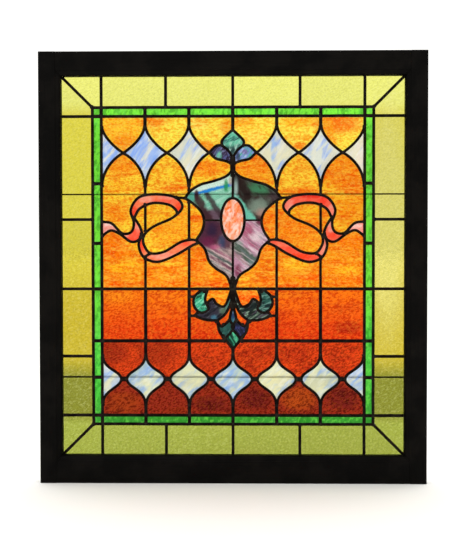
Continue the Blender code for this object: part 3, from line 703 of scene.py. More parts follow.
@dataclass(frozen=True)
class Fade:
    """A second colour that comes in from one level of the panel to another."""

    colour: str
    start: float
    end: float
    strength: float = 1.0

    def share(self, place: Place) -> Socket:
        """Where the second colour shows."""
        level = add_node(place.tree, "SeparateXYZ", {0: place.panel}).outputs[2]
        ends = [panel_middle() + z * MM for z in (self.start, self.end)]
        rise = (0, self.strength) if ends[0] < ends[1] else (self.strength, 0)
        return between(place.tree, level, min(ends), max(ends), *rise)


Layer = Wisp | Band | Spot | Fade


class Relief(Enum):
    """How the surface of a glass was formed: its grid, then (height, size) of its waves, in mm."""

    ROLLED = (3.0, ((0.20, 9.0), (0.13, 4.4)))
    WISPY = (5.0, ((0.22, 34.0), (0.09, 13.0)))
    STREAKY = (4.0, ((0.22, 26.0), (0.12, 9.0)))

    @property
    def step(self) -> float:
        """The step of the grid that the surface is shaped on."""
        return self.value[0]

    def height(self, place: Vector) -> float:
        """How far the surface stands forward at a place of the panel."""
        return sum(height * noise.noise(place / size) for height, size in self.value[1])


@dataclass(frozen=True)
class Glass:
    """A sheet of coloured glass lit from behind.

    Soda-lime glass has an IOR of 1.52; it is set lower here, because the photograph was exposed for the
    light behind the window and shows none of the front's reflections. Opalescent and streaky sheets
    scatter the light that they let through, so the colour glows evenly and nothing behind shows;
    cathedral glass is clear, and only its rolled surface breaks the light up. Dark seed and cord in the
    sheet give the fine grain.
    """

    slot: str
    base: str
    layers: tuple[Layer, ...] = ()
    relief: Relief = Relief.WISPY
    clear: float = 0.72
    rough: float = 0.35
    grain: float = 0.22
    grain_size: float = 2.6
    tone: float = 0.10
    ior: float = 1.15

    def material(self, name: str) -> bpy.types.Material:
        """Builds the glass's material.

        Args:
            name: the material's name.

        Returns:
            The material.
        """
        made = blank_material(name)
        tree = made.node_tree
        panel = add_node(tree, "TexCoord").outputs["Object"]
        cut = add_node(tree, "Attribute", attribute_name="cut_from").outputs["Vector"]
        sheet = add_node(tree, "VectorMath", {0: panel, 1: cut}, operation="ADD").outputs[0]
        colour: Socket | tuple = linear(self.base)
        for number, layer in enumerate(self.layers, 1):
            share = layer.share(Place(tree, sheet, panel, number))
            how = layer.how if isinstance(layer, Wisp) else Stir.OVER
            colour = blended(tree, share, colour, linear(layer.colour), how)
        seed = clouds(tree, sheet, 1 / (self.grain_size * MM), rough=0.7)
        dark = between(tree, seed.outputs[0], 0.36, 0.56, 1 - self.grain, 1.0)
        tone = add_node(tree, "Attribute", attribute_name="tone").outputs["Fac"]
        shade = between(tree, tone, 0.0, 1.0, 1 - self.tone, 1.0)
        amount = add_node(tree, "Math", {0: dark, 1: shade}, operation="MULTIPLY").outputs[0]
        toned = add_node(tree, "VectorMath", {0: colour, "Scale": amount}, operation="SCALE").outputs[0]
        bump = add_node(tree, "Bump", {"Height": seed.outputs[0], "Distance": 0.0006, "Strength": 0.5})
        shader = add_node(tree, "BsdfPrincipled", {
            "Base Color": toned, "Roughness": self.rough, "IOR": self.ior, "Transmission Weight": self.clear,
            "Normal": bump.outputs[0]})
        add_node(tree, "OutputMaterial", {0: shader.outputs[0]})
        return made


# The glass schedule: what each sheet of the panel is cut from

def flecks(deep: str, pale: str, turn: float = 90.0, size: float = 5.0,
           strength: float = 0.6) -> tuple[Layer, ...]:
    """Fine flecks that deepen the colour, and a few paler ones, drawn coarser than real so that they show.

    Args:
        deep: the tint of the deeper ones.
        pale: the colour of the paler ones.
        turn: which way they are drawn out.
        size: their length in millimetres.
        strength: how much they show.

    Returns:
        The two layers.
    """
    return (Wisp(deep, 0.46, size * 1.6, size * 0.8, turn, 0.05, strength, 0.3, Stir.DEEPEN),
            Wisp(pale, 0.3, size * 1.3, size * 0.7, turn, 0.045, strength * 0.4, 0.3))


def amber(base: str, *spots: Layer, deep: str = "#F4A864", pale: str = "#FFE048",
          cover: float = 0.36) -> Glass:
    """Amber opalescent glass: level wisps and flecks of orange on yellow.

    Args:
        base: the main colour.
        spots: broad places of other colours.
        deep: the tint of the orange wisps and flecks.
        pale: the colour of the pale ones.
        cover: how much of the sheet the orange wisps take.

    Returns:
        The glass.
    """
    return Glass("amber_opalescent_glass", base, (
        *spots, Wisp(deep, cover, 70, 13, 88, 0.07, 0.6, 0.8, Stir.DEEPEN),
        Wisp(pale, 0.32, 50, 11, 88, 0.07, 0.35, 0.7), *flecks(deep, pale, size=4.4, strength=0.95)),
        clear=0.82, grain=0.16, grain_size=3.0, tone=0.03)


def opal(slot: str, base: str, *layers: Layer, grain: float = 0.1, tone: float = 0.05,
         rough: float = 0.4) -> Glass:
    """Opalescent glass of a slot with its layers."""
    return Glass(slot, base, layers, grain=grain, tone=tone, rough=rough)


def streaky(slot: str, base: str, *layers: Layer, grain: float = 0.25) -> Glass:
    """Streaky glass of a slot with its layers: several colours drawn out side by side."""
    return Glass(slot, base, layers, Relief.STREAKY, grain=grain, tone=0.04)


def border_and_rows() -> dict[str, Glass]:
    """The glass of the border, the fillet and the rows across the whole field."""
    return {
        "border_glass": Glass(
            "yellow_cathedral_glass", "#E9EA7C", (
                # The fades make the border darker towards the bottom: painted shade, where the lower panes
                # look onto the floor instead of the bright room behind.
                Fade("#DCD24A", 375, 330), Fade("#C0AE30", 120, -110), Fade("#82862E", -195, -262),
                Fade("#9AA644", -335, -360), Spot("#E2DE8C", (350, 120), (44, 250), 0.5, 0.55, 0.5),
                *flecks("#DADA9C", "#FFFFC0", 60, 4.4, 0.24)),
            Relief.ROLLED, clear=1.0, rough=0.10, grain=0.14, grain_size=4.4, tone=0.06),
        "fillet_glass": Glass(
            "green_glass", "#8DFF49", (
                # The fades make the fillet darker towards the bottom: painted shade, as on the border.
                Fade("#7CE73F", 335, 320), Fade("#4ECC44", -40, -190), Fade("#3EA236", -290, -335),
                Wisp("#1C8A18", 0.42, 18, 9, 10, 0.04, 0.55), Wisp("#78EA54", 0.34, 13, 8, 30, 0.05, 0.6)),
            Relief.STREAKY, clear=0.8, rough=0.35, grain=0.2, grain_size=3.8, tone=0.12),
        "amber_top_row": amber(
            "#FFF458", Spot("#FFCC2A", (-250, 305), (58, 50), 0.25),
            Spot("#FBA012", (-246, 276), (30, 24)), Spot("#FB940C", (-182, 327), (30, 14)),
            Spot("#FB960E", (-62, 270), (20, 14)), Spot("#FBB420", (-12, 318), (14, 26)),
            Spot("#FBB41C", (22, 327), (26, 12)), Spot("#FFC828", (150, 327), (40, 13)),
            Spot("#FB980E", (150, 272), (16, 8)), Spot("#FFEC6A", (-80, 322), (24, 14)),
            Spot("#FFE862", (52, 290), (26, 18)), Spot("#FA8004", (236, 324), (52, 24)),
            Spot("#FBB01A", (208, 300), (22, 34)), deep="#FBC072", pale="#FFEA62", cover=0.26),
        "red_row": opal(
            "red_opalescent_glass", "#EE4A12", Spot("#A82A0E", (-272, -195), (34, 26)),
            Spot("#B8320E", (-172, -196), (44, 26)), Spot("#D0380E", (140, -198), (36, 18)),
            Wisp("#C22E0C", 0.4, 30, 14, 70, 0.08, 0.7), *flecks("#A06C58", "#FF741E", 60, 3.8, 0.85),
            grain=0.22),
        "bottom_row": opal(
            "dark_red_opalescent_glass", "#A82E16", Spot("#B4420F", (-250, -310), (40, 24)),
            Spot("#C6520F", (150, -300), (38, 26)), Spot("#A8340F", (-125, -330), (26, 10)),
            Spot("#7C1C14", (-50, -312), (40, 18)), Spot("#7A1A16", (52, -300), (34, 22)),
            Spot("#801E16", (250, -300), (36, 24)), *flecks("#8C5C4C", "#C04C12", 60, 3.8, 0.95),
            grain=0.22),
    }


def amber_field() -> dict[str, Glass]:
    """The amber panes of the two sides, whose broad places differ."""
    return {
        "amber_arches_left": amber(
            "#FFE03A", Spot("#FC9A0A", (-246, 230), (40, 24)), Spot("#FFCE2A", (-268, 178), (26, 16)),
            Spot("#FB8A04", (-130, 178), (34, 8)), Spot("#FFCC26", (-120, 205), (22, 20)),
            Spot("#FC960A", (-64, 221), (36, 18)), Spot("#FFC022", (-24, 232), (14, 16)),
            Spot("#FB9A0A", (-262, 118), (30, 22)), Spot("#FFB81E", (-120, 88), (64, 52), 0.3, 0.9, 0.5),
            Spot("#FFC828", (-150, 58), (26, 12)), Spot("#FB8002", (-80, 108), (20, 9)),
            Spot("#FB9C0C", (-170, 96), (20, 14))),
        "amber_arches_right": amber(
            "#FFC628", Spot("#FC960A", (46, 226), (42, 26)), Spot("#FFB41C", (18, 205), (14, 12)),
            Spot("#FFE040", (146, 206), (50, 44), 0.3), Spot("#FB8C06", (150, 172), (42, 8)),
            Spot("#FC8E04", (250, 215), (44, 30)), Spot("#FB8202", (272, 176), (26, 14)),
            Spot("#FB9E10", (212, 210), (12, 26)), Spot("#FBA010", (262, 130), (40, 26)),
            Spot("#FF9C10", (130, 86), (66, 54), 0.3, 0.95, 0.5), Spot("#FB8002", (84, 110), (24, 32)),
            Spot("#FF9008", (140, 90), (30, 14)), Spot("#FFB41A", (180, 50), (22, 12))),
        "amber_loop_left": amber(
            "#FFD62E", Spot("#FFCA24", (-170, 122), (40, 18)), Spot("#FB9608", (-82, 100), (18, 40), 0.3),
            Spot("#FB7200", (-82, 108), (16, 5)), Spot("#FB9206", (-186, 62), (18, 26)),
            Spot("#FB980A", (-130, 78), (26, 10))),
        "amber_loop_right": amber(
            "#FFA012", Spot("#FFC41C", (162, 125), (42, 16), 0.3), Spot("#FB7200", (86, 108), (18, 26)),
            Spot("#FB7A00", (140, 80), (34, 14)), Spot("#FB9E0E", (112, 126), (12, 20)),
            Spot("#FB980A", (190, 50), (20, 12)), Spot("#FFB41A", (220, 110), (10, 26))),
        "amber_low_left": amber(
            "#F89A0E", Spot("#FB8202", (-264, 40), (38, 26)), Spot("#FFCA24", (-222, 56), (18, 18)),
            Spot("#FFC41E", (-244, 4), (38, 18)), Spot("#FB7200", (-276, -42), (28, 9)),
            Spot("#FB8604", (-130, -8), (32, 7)), Spot("#FB8604", (-150, -38), (44, 9)),
            Spot("#FFC824", (-140, 12), (30, 10)), Spot("#FB7C00", (-78, 6), (20, 30)),
            Spot("#FB9C10", (-34, -22), (20, 14)), Spot("#FB6E00", (-56, -42), (44, 8))),
        "amber_low_right": amber(
            "#F89A0E", Spot("#FB8604", (66, 40), (30, 18)), Spot("#FB7E02", (84, -38), (30, 12)),
            Spot("#FFC420", (24, -18), (24, 18)), Spot("#FB6A04", (34, -71), (30, 20), 0.3, 1.0),
            Spot("#FFC824", (140, 6), (34, 12)), Spot("#FB6A02", (176, -24), (28, 8)),
            Spot("#FB8002", (130, -42), (26, 8)), Spot("#FB8804", (262, 62), (38, 24)),
            Spot("#FB7E02", (232, 2), (26, 8)), Spot("#FB8804", (268, -34), (34, 8)),
            Spot("#FFC824", (258, -8), (26, 12))),
        "orange_row_left": opal(
            "orange_red_opalescent_glass", "#FF880A", Fade("#F2500A", -62, -150),
            Spot("#FF9C14", (-262, -66), (38, 16)), Spot("#FF8C10", (-160, -66), (34, 10)),
            Spot("#FFA014", (-30, -72), (30, 16)), Spot("#EE7410", (-86, -70), (12, 12)),
            Wisp("#E04A0C", 0.32, 60, 14, 84, 0.09, 0.5), *flecks("#D8806C", "#FF9A20", 72, 4.4, 0.95),
            grain=0.16),
        "orange_row_right": opal(
            "orange_red_opalescent_glass", "#FF7E0A", Fade("#F0480A", -62, -150),
            Spot("#F4741A", (40, -68), (30, 14)), Spot("#F98610", (130, -64), (30, 8)),
            Spot("#C8340E", (262, -138), (30, 14)), Wisp("#DC440C", 0.34, 60, 14, 84, 0.09, 0.5),
            *flecks("#D8806C", "#FF9420", 72, 4.4, 0.95), grain=0.16),
    }


def ribbons() -> dict[str, Glass]:
    """The glass of the ribbons: salmon, with redder ends where the sheet was thick."""
    red, pale = "#FF4A20", "#FFB094"
    places = {
        "ribbon_tail_left": ("#F8AEA0", Spot("#FFDCD4", (-280, 96), (14, 5))),
        "ribbon_tail_right": ("#FFAA98", Spot("#FFD6CC", (278, 92), (14, 6))),
        "ribbon_curl_left": (
            "#FF6244", Spot("#FF9C80", (-216, 96), (8, 16)), Spot("#FFA890", (-246, 70), (10, 5))),
        "ribbon_curl_right": (
            "#FF7252", Spot("#FFAA94", (222, 92), (8, 16)), Spot("#FF5434", (226, 70), (14, 6))),
        "ribbon_loop_left": (
            "#FF8A5A", Spot(red, (-224, 120), (8, 18)), Spot(red, (-122, 132), (10, 13)),
            Spot("#FF6A4C", (-160, 146), (34, 5)), Spot(pale, (-196, 152), (18, 7)),
            Spot("#FF9C84", (-148, 156), (20, 5))),
        "ribbon_loop_right": (
            "#FF664A", Spot("#EE2E1C", (188, 160), (38, 6)), Spot("#FFA68E", (128, 136), (10, 16)),
            Spot("#FFA088", (222, 128), (7, 12)), Spot("#FF4A30", (206, 150), (12, 10))),
        "ribbon_band_left": (
            "#FF8E5E", Spot(red, (-208, 50), (8, 18)), Spot("#FFAC92", (-160, 24), (26, 8)),
            Spot("#FF6844", (-110, 52), (16, 6))),
        "ribbon_band_right": (
            "#FF6042", Spot("#FFA288", (205, 40), (9, 20)), Spot(red, (150, 22), (30, 7)),
            Spot("#FF8464", (112, 50), (18, 6))),
    }
    return {node: opal("pink_opalescent_glass" if "tail" in node else "coral_opalescent_glass", base, *spots,
                       *flecks("#FF9C8C", pale, 60, 7, 0.4), grain=0.05)
            for node, (base, *spots) in places.items()}


def white_panes() -> dict[str, Glass]:
    """The diamonds and onions: white stirred with cream and sky blue, no two alike."""
    diamonds = (
        (1, "#E2E6EC", 0.5, 0.3, Spot("#A9C6F8", (-284, 248), (16, 22))),
        (2, "#C2D6F6", 0.56, 0.26, Spot("#9CC0FA", (-196, 292), (20, 22))),
        (3, "#DCE0D0", 0.3, 0.4, Spot("#9EC2F8", (-84, 214), (14, 22))),
        (5, "#E8E8CC", 0.28, 0.44, Spot("#9AC0F4", (93, 262), (7, 28))),
        (6, "#E8ECE0", 0.34, 0.34, Spot("#B6CEF2", (216, 250), (12, 20))),
        (7, "#F0ECDC", 0.12, 0.5, Spot("#F4E8D8", (288, 250), (10, 30))))
    onions = ((1, "#CEDAE8", 0.46), (2, "#B8CAC2", 0.46), (3, "#D8DCC2", 0.28), (4, "#B8CCCC", 0.42),
              (5, "#E4E2BA", 0.22), (6, "#D2D8BC", 0.32), (7, "#C6D4E8", 0.46))
    schedule = {}
    for k, base, blue, cream, edge in diamonds:
        schedule[f"diamond_{k}"] = opal(
            "blue_white_opalescent_glass", base, edge, Wisp("#8CB4FA", blue, 62, 13, 32, 0.08, 0.85),
            Wisp("#EEE8C8", cream, 50, 12, 34, 0.08, 0.8), Wisp("#FAFBF4", 0.28, 40, 7, 32, 0.09, 0.5),
            grain=0.08)
    for k, base, blue in onions:
        schedule[f"onion_{k}"] = opal(
            "cream_white_opalescent_glass", base, Fade("#DAD8B4", -250, -266, 0.45),
            Wisp("#EEECBE", 0.42, 44, 18, 40, 0.12, 0.7), Wisp("#86B2EC", blue, 46, 13, 48, 0.12, 0.8),
            Wisp("#F4F6EC", 0.28, 34, 10, 40, 0.10, 0.5), grain=0.08, rough=0.85)
    return schedule


def shield_and_fleur() -> dict[str, Glass]:
    """The streaky glass of the shield and of the fleur above it."""
    return {
        "shield_oval": opal(
            "peach_mottled_glass", "#FFB282", Wisp("#FF8A3C", 0.46, 16, 10, 40, 0.08, 0.95),
            Wisp("#FFE4D8", 0.38, 18, 11, 20, 0.08, 0.85), *flecks("#FFB898", "#FFE4DC", 20, 5, 0.6),
            grain=0.04),
        "shield_upper_left": streaky(
            "mint_streaky_glass", "#90D4B8", Wisp("#B8E6D4", 0.4, 40, 9, 66, 0.06, 0.8),
            Wisp("#5CAE94", 0.35, 30, 8, 60, 0.06, 0.7), Spot("#552A3E", (-74, 112), (24, 20), 0.5, 0.95),
            Spot("#6E4A60", (-44, 115), (24, 15), 0.5, 0.95), Spot("#62BCA6", (-94, 156), (9, 7)),
            Band("#45262C", (-73, 137), -27, 9.5, 0.5, 0.95, 0.35),
            Band("#47303A", (-45, 142), -33, 5.5, 0.6, 0.9, 0.3),
            Band("#DCF4E6", (-42, 186), 76, 8, 0.5, 1.0, 0.2),
            Band("#2A8EE0", (-45, 174), 76, 3.2, 0.5, 1.0, 0.3),
            Spot("#5EB49E", (-98, 158), (14, 12), 0.3, 0.97, 0.6),
            Spot("#43242C", (-82, 161), (5, 12), 0.4, 0.95, 0.8),
            Spot("#2C9C62", (-15, 183), (5, 14), 0.5, 0.9, 1.6),
            Spot("#B8A8A0", (-5, 192), (4, 10), 0.5, 0.8)),
        "shield_upper_right": streaky(
            "brown_green_streaky_glass", "#3E302C", Spot("#488E64", (64, 178), (28, 13), 0.8, 0.95, 2.0),
            Wisp("#66746A", 0.34, 40, 9, -44, 0.07, 0.65), Wisp("#2A201E", 0.34, 26, 7, -44, 0.06, 0.75),
            Spot("#4A363C", (92, 158), (14, 11), 0.5, 0.7),
            Band("#2C1E1C", (31, 162), -33, 10, 0.5, 0.95, 0.35),
            Spot("#8CA090", (58, 136), (22, 16), 0.7, 0.85, 2.0),
            Spot("#C0988C", (66, 122), (12, 9), 0.8, 0.8, 2.0),
            Spot("#5C2A34", (68, 108), (9, 5), 0.5, 0.85),
            Band("#78D0B8", (20, 134), -37, 8, 0.5, 0.95, 0.3),
            Spot("#B4D0C8", (7, 176), (4, 17), 0.9, 0.85, 0.5)),
        "shield_lower_left": streaky(
            "plum_streaky_glass", "#C4ACA8", Band("#A86880", (-26, 28), -58, 4, 0.6, 0.9),
            Band("#4E5E5C", (-22, 14), -60, 3.4, 0.6, 0.9), Band("#8C4A64", (-14, 0), -58, 3, 0.6, 0.9),
            Band("#5C6668", (-12, -12), -58, 3, 0.6, 0.85), Wisp("#EEDCD8", 0.3, 34, 5, -58, 0.08, 0.6),
            Wisp("#5A4450", 0.32, 36, 6, -58, 0.09, 0.5),
            Spot("#52243A", (-52, 80), (36, 36), 0.3, 0.97, 0.9),
            Spot("#5A2840", (-14, 56), (12, 20), 0.6, 0.9, 1.8),
            Spot("#2A2040", (-47, 82), (12, 16), 0.8, 0.8, 2.0),
            Spot("#32466C", (-25, 55), (8, 14), 0.7, 0.85, 2.2),
            Spot("#74204A", (-56, 55), (16, 12), 0.8, 0.8, 2.0),
            Spot("#C8608C", (-40, 44), (11, 5), 0.8, 0.75, 2.2)),
        "shield_lower_right": streaky(
            "rose_streaky_glass", "#CC96B0", Wisp("#ECD0DC", 0.36, 44, 8, -52, 0.06, 0.85),
            Spot("#BC5E7E", (34, 82), (14, 16), 0.5, 0.9), Spot("#6E2A44", (60, 98), (9, 7), 0.5, 0.95),
            Spot("#F4DEE2", (54, 66), (13, 9), 0.8, 0.85, 2.0),
            Band("#B4587A", (38, 56), -50, 4, 0.6, 0.85), Spot("#8AA89C", (13, 50), (10, 8), 0.6, 0.85),
            Band("#46604F", (28, 27), -53, 11, 0.5, 0.95), Band("#B48C94", (24, 12), -54, 3.5, 0.6, 0.85),
            Spot("#6A8480", (42, 8), (9, 8), 0.5, 0.85), Spot("#8A3454", (12, -10), (8, 14), 0.5, 0.9),
            Wisp("#7C8C90", 0.26, 40, 5, -52, 0.05, 0.5), Wisp("#E8D4D8", 0.26, 36, 4, -54, 0.05, 0.5)),
        "fleur_top_leaf": streaky(
            "mint_streaky_glass", "#70D0B0", Fade("#2C2838", 280, 264, 0.9),
            Wisp("#BDEAD8", 0.34, 24, 6, 20, 0.05, 0.8), Wisp("#2E5C60", 0.34, 26, 6, 60, 0.05)),
        "fleur_leaf_left": streaky(
            "plum_streaky_glass", "#403050", Wisp("#241830", 0.4, 24, 6, 30, 0.05),
            Spot("#7CD8B8", (-31, 252), (6, 8), 0.6, 0.9, 2.4),
            Wisp("#A8B4E0", 0.26, 16, 4, 30, 0.05, 0.7), Wisp("#6A70A8", 0.3, 22, 5, 30, 0.05, 0.8)),
        "fleur_leaf_right": streaky(
            "lavender_streaky_glass", "#88A4E0", Wisp("#58B8AC", 0.36, 24, 7, 40, 0.05),
            Spot("#8870B4", (27, 258), (7, 6), 0.5, 0.9), Wisp("#C8D8FA", 0.3, 20, 5, 40, 0.05, 0.8),
            Spot("#241E38", (12, 248), (5, 10), 0.5, 0.8)),
    }


def lower_ornament() -> dict[str, Glass]:
    """The dark streaky glass of the ornament under the shield."""
    schedule = {
        "teardrop_stem": streaky(
            "night_streaky_glass", "#28406A", Fade("#3C8E90", -112, -130, 0.85),
            Wisp("#7090B0", 0.3, 18, 4, 0, 0.05, 0.8)),
        "base_diamond": streaky(
            "teal_streaky_glass", "#12382F", Band("#62DCAA", (5, -160), -30, 4.5, 0.4, 0.95, 0.2),
            Band("#3FA880", (-3, -168), -30, 2, 0.5, 0.8, 0.2),
            Wisp("#0A1C1C", 0.36, 20, 5, -30, 0.05, 0.8)),
        "ornament_curl_left": streaky(
            "teal_streaky_glass", "#40B890", Wisp("#175040", 0.4, 22, 5, 45, 0.05),
            Wisp("#8CE8C4", 0.32, 18, 5, 45, 0.05, 0.85)),
        "ornament_curl_right": streaky(
            "teal_streaky_glass", "#33665C", Wisp("#1B2E30", 0.42, 22, 5, 70, 0.05),
            Wisp("#78A89C", 0.34, 20, 4, 70, 0.05, 0.85)),
        "ornament_leaf_left": streaky(
            "night_streaky_glass", "#363240", Wisp("#7A8088", 0.3, 22, 6, 55, 0.05, 0.8),
            Wisp("#16151E", 0.4, 24, 6, 50, 0.05, 0.85), Spot("#4C8C84", (-12, -86), (8, 12), 0.5, 0.85),
            Spot("#6C8C70", (-21, -99), (9, 9), 0.7, 0.55, 2.4),
            Spot("#4C8CA8", (-43, -115), (7, 5), 0.7, 0.6, 2.4)),
        "ornament_leaf_right": streaky(
            "night_streaky_glass", "#23302E", Wisp("#9CBCA4", 0.32, 26, 3.6, 62, 0.05, 0.9),
            Wisp("#101A1A", 0.38, 30, 6, 60, 0.05, 0.85), Wisp("#5A4A5C", 0.26, 24, 6, 60, 0.05, 0.8)),
        "ornament_lobe_left": streaky(
            "night_streaky_glass", "#2A5650", Wisp("#4C8C80", 0.32, 18, 4, 30, 0.05),
            Wisp("#142A2C", 0.4, 18, 5, 30, 0.05, 0.8)),
        "ornament_lobe_right": streaky(
            "night_streaky_glass", "#22253E", Wisp("#4A5090", 0.3, 18, 4, -30, 0.05),
            Wisp("#10131E", 0.4, 18, 5, -30, 0.05, 0.8)),
    }
    for side in ("left", "right"):
        schedule[f"orange_triangle_{side}"] = opal(
            "orange_red_opalescent_glass", "#F25C0C", Wisp("#FF8A1C", 0.4, 14, 7, 60, 0.06, 0.8),
            *flecks("#C8380C", "#FF9A28", 70, 4.6, 0.6))
    return schedule


def glass_schedule() -> dict[str, Glass]:
    """The glass of every sheet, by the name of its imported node."""
    return {**border_and_rows(), **amber_field(), **ribbons(), **white_panes(), **shield_and_fleur(),
            **lower_ornament()}


# Meshes

def finished(bm: Shape, name: str, sharp: float = 35.0) -> bpy.types.Object:
    """Turns a bmesh in metres into an object whose soft edges are smooth.

    Args:
        bm: the shape. It is freed.
        name: the piece's name.
        sharp: the angle in degrees from which an edge stays sharp.

    Returns:
        The object.
    """
    mesh = bpy.data.meshes.new(name)
    bm.to_mesh(mesh)
    bm.free()
    mesh.shade_smooth()
    mesh.set_sharp_from_angle(angle=math.radians(sharp))
    thing = bpy.data.objects.new(name, mesh)
    bpy.context.scene.collection.objects.link(thing)
    return thing


def on_panel(bm: Shape, name: str) -> bpy.types.Object:
    """Turns a bmesh drawn on the panel, in millimetres from its front and middle, into an object.

    Args:
        bm: the shape. It is freed.
        name: the piece's name.

    Returns:
        The object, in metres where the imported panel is.
    """
    low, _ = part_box("lead_came_lattice")
    shift = Matrix.Translation((0.0, low.y, panel_middle()))
    bmesh.ops.transform(bm, matrix=shift @ Matrix.Scale(MM, 4), verts=bm.verts)
    return finished(bm, name)


def dressed(piece: bpy.types.Object, material: bpy.types.Material, slot: str,
            *nodes: str) -> bpy.types.Object:
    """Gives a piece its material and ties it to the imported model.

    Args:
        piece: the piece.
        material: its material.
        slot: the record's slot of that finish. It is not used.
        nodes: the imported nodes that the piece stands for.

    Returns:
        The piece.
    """
    piece.data.materials.clear()
    piece.data.materials.append(material)
    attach(piece, BODY)
    if nodes:
        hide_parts(*nodes)
    log.info("%s: %d faces", piece.name, len(piece.data.polygons))
    return piece


def join(whole: Shape, part: Shape) -> None:
    """Adds one bmesh to another and frees it."""
    mesh = bpy.data.meshes.new("part")
    part.to_mesh(mesh)
    part.free()
    whole.from_mesh(mesh)
    bpy.data.meshes.remove(mesh)


def stations(path: Sequence[Vector], closed: bool) -> list[Matrix]:
    """Places a section square across each bend of a path on the panel, mitred.

    Args:
        path: points of the panel.
        closed: if the path runs back to its first point, which isn't repeated.

    Returns:
        One placement for each point, from (across, depth, along) to the panel.
    """
    found = []
    for i, p in enumerate(path):
        before = p - path[i - 1] if i > 0 or closed else None
        after = path[(i + 1) % len(path)] - p if i + 1 < len(path) or closed else None
        a, b = (before or after).normalized(), (after or before).normalized()
        d = (a + b).normalized()
        wide = 1 / max(d.dot(a), 0.4)
        found.append(Matrix(((d.y * wide, 0, d.x, p.x), (0, 1, 0, 0), (-d.x * wide, 0, d.y, p.y),
                             (0, 0, 0, 1))))
    return found


def swept(section: Sequence[Point], path: Sequence[Vector], closed: bool = False) -> Shape:
    """Extrudes a section along a path on the panel.

    Args:
        section: (across to the right of the way along, depth), in millimetres.
        path: points of the panel.
        closed: if the path is a closed line.

    Returns:
        The closed solid.
    """
    places = stations(path, closed)
    bm = bmesh.new()
    cap = bm.faces.new([bm.verts.new((u, y, 0)) for u, y in section])
    first = edges = list(cap.edges)
    bmesh.ops.transform(bm, matrix=places[0], verts=bm.verts)
    for last, place in zip(places, places[1:]):
        made = bmesh.ops.extrude_edge_only(bm, edges=edges)["geom"]
        verts = {v for v in made if isinstance(v, bmesh.types.BMVert)}
        edges = [e for e in made if isinstance(e, bmesh.types.BMEdge) and set(e.verts) <= verts]
        bmesh.ops.transform(bm, matrix=place @ last.inverted(), verts=list(verts))
    if closed:
        bmesh.ops.delete(bm, geom=[cap], context="FACES_ONLY")
        bmesh.ops.bridge_loops(bm, edges=first + edges)
    else:
        bmesh.ops.edgeloop_fill(bm, edges=edges)
    bmesh.ops.recalc_face_normals(bm, faces=bm.faces)
    return bm


def paced(line: Sequence[Vector], longest: float) -> list[Vector]:
    """Adds points to a line so that no step is longer than a length.

    Args:
        line: the line.
        longest: the longest step, in millimetres.

    Returns:
        The line with more points.
    """
    out = [line[0]]
    for a, b in zip(line, line[1:]):
        n = max(1, math.ceil((b - a).length / longest))
        out += [a.lerp(b, i / n) for i in range(1, n + 1)]
    return out


def bead(place: Vector, level: float, radius: Point, height: float, turn: float) -> Shape:
    """A low, lumpy button of solder.

    Args:
        place: where it sits on the panel.
        level: its depth.
        radius: its two half widths.
        height: its half height.
        turn: how far it is turned on the panel, in radians.

    Returns:
        The bead.
    """
    bm = bmesh.new()
    bmesh.ops.create_uvsphere(bm, u_segments=14, v_segments=7, radius=1)
    sized = Matrix.Rotation(turn, 4, "Z") @ Matrix.Diagonal((*radius, height, 1))
    spot = Matrix.Translation((place.x, level, place.y)) @ Matrix.Rotation(math.pi / 2, 4, "X")
    bmesh.ops.transform(bm, matrix=spot @ sized, verts=bm.verts)
    for v in bm.verts:
        v.co += Vector((1, 0, 1)) * noise.noise(v.co / 3.1) * 0.4
    return bm


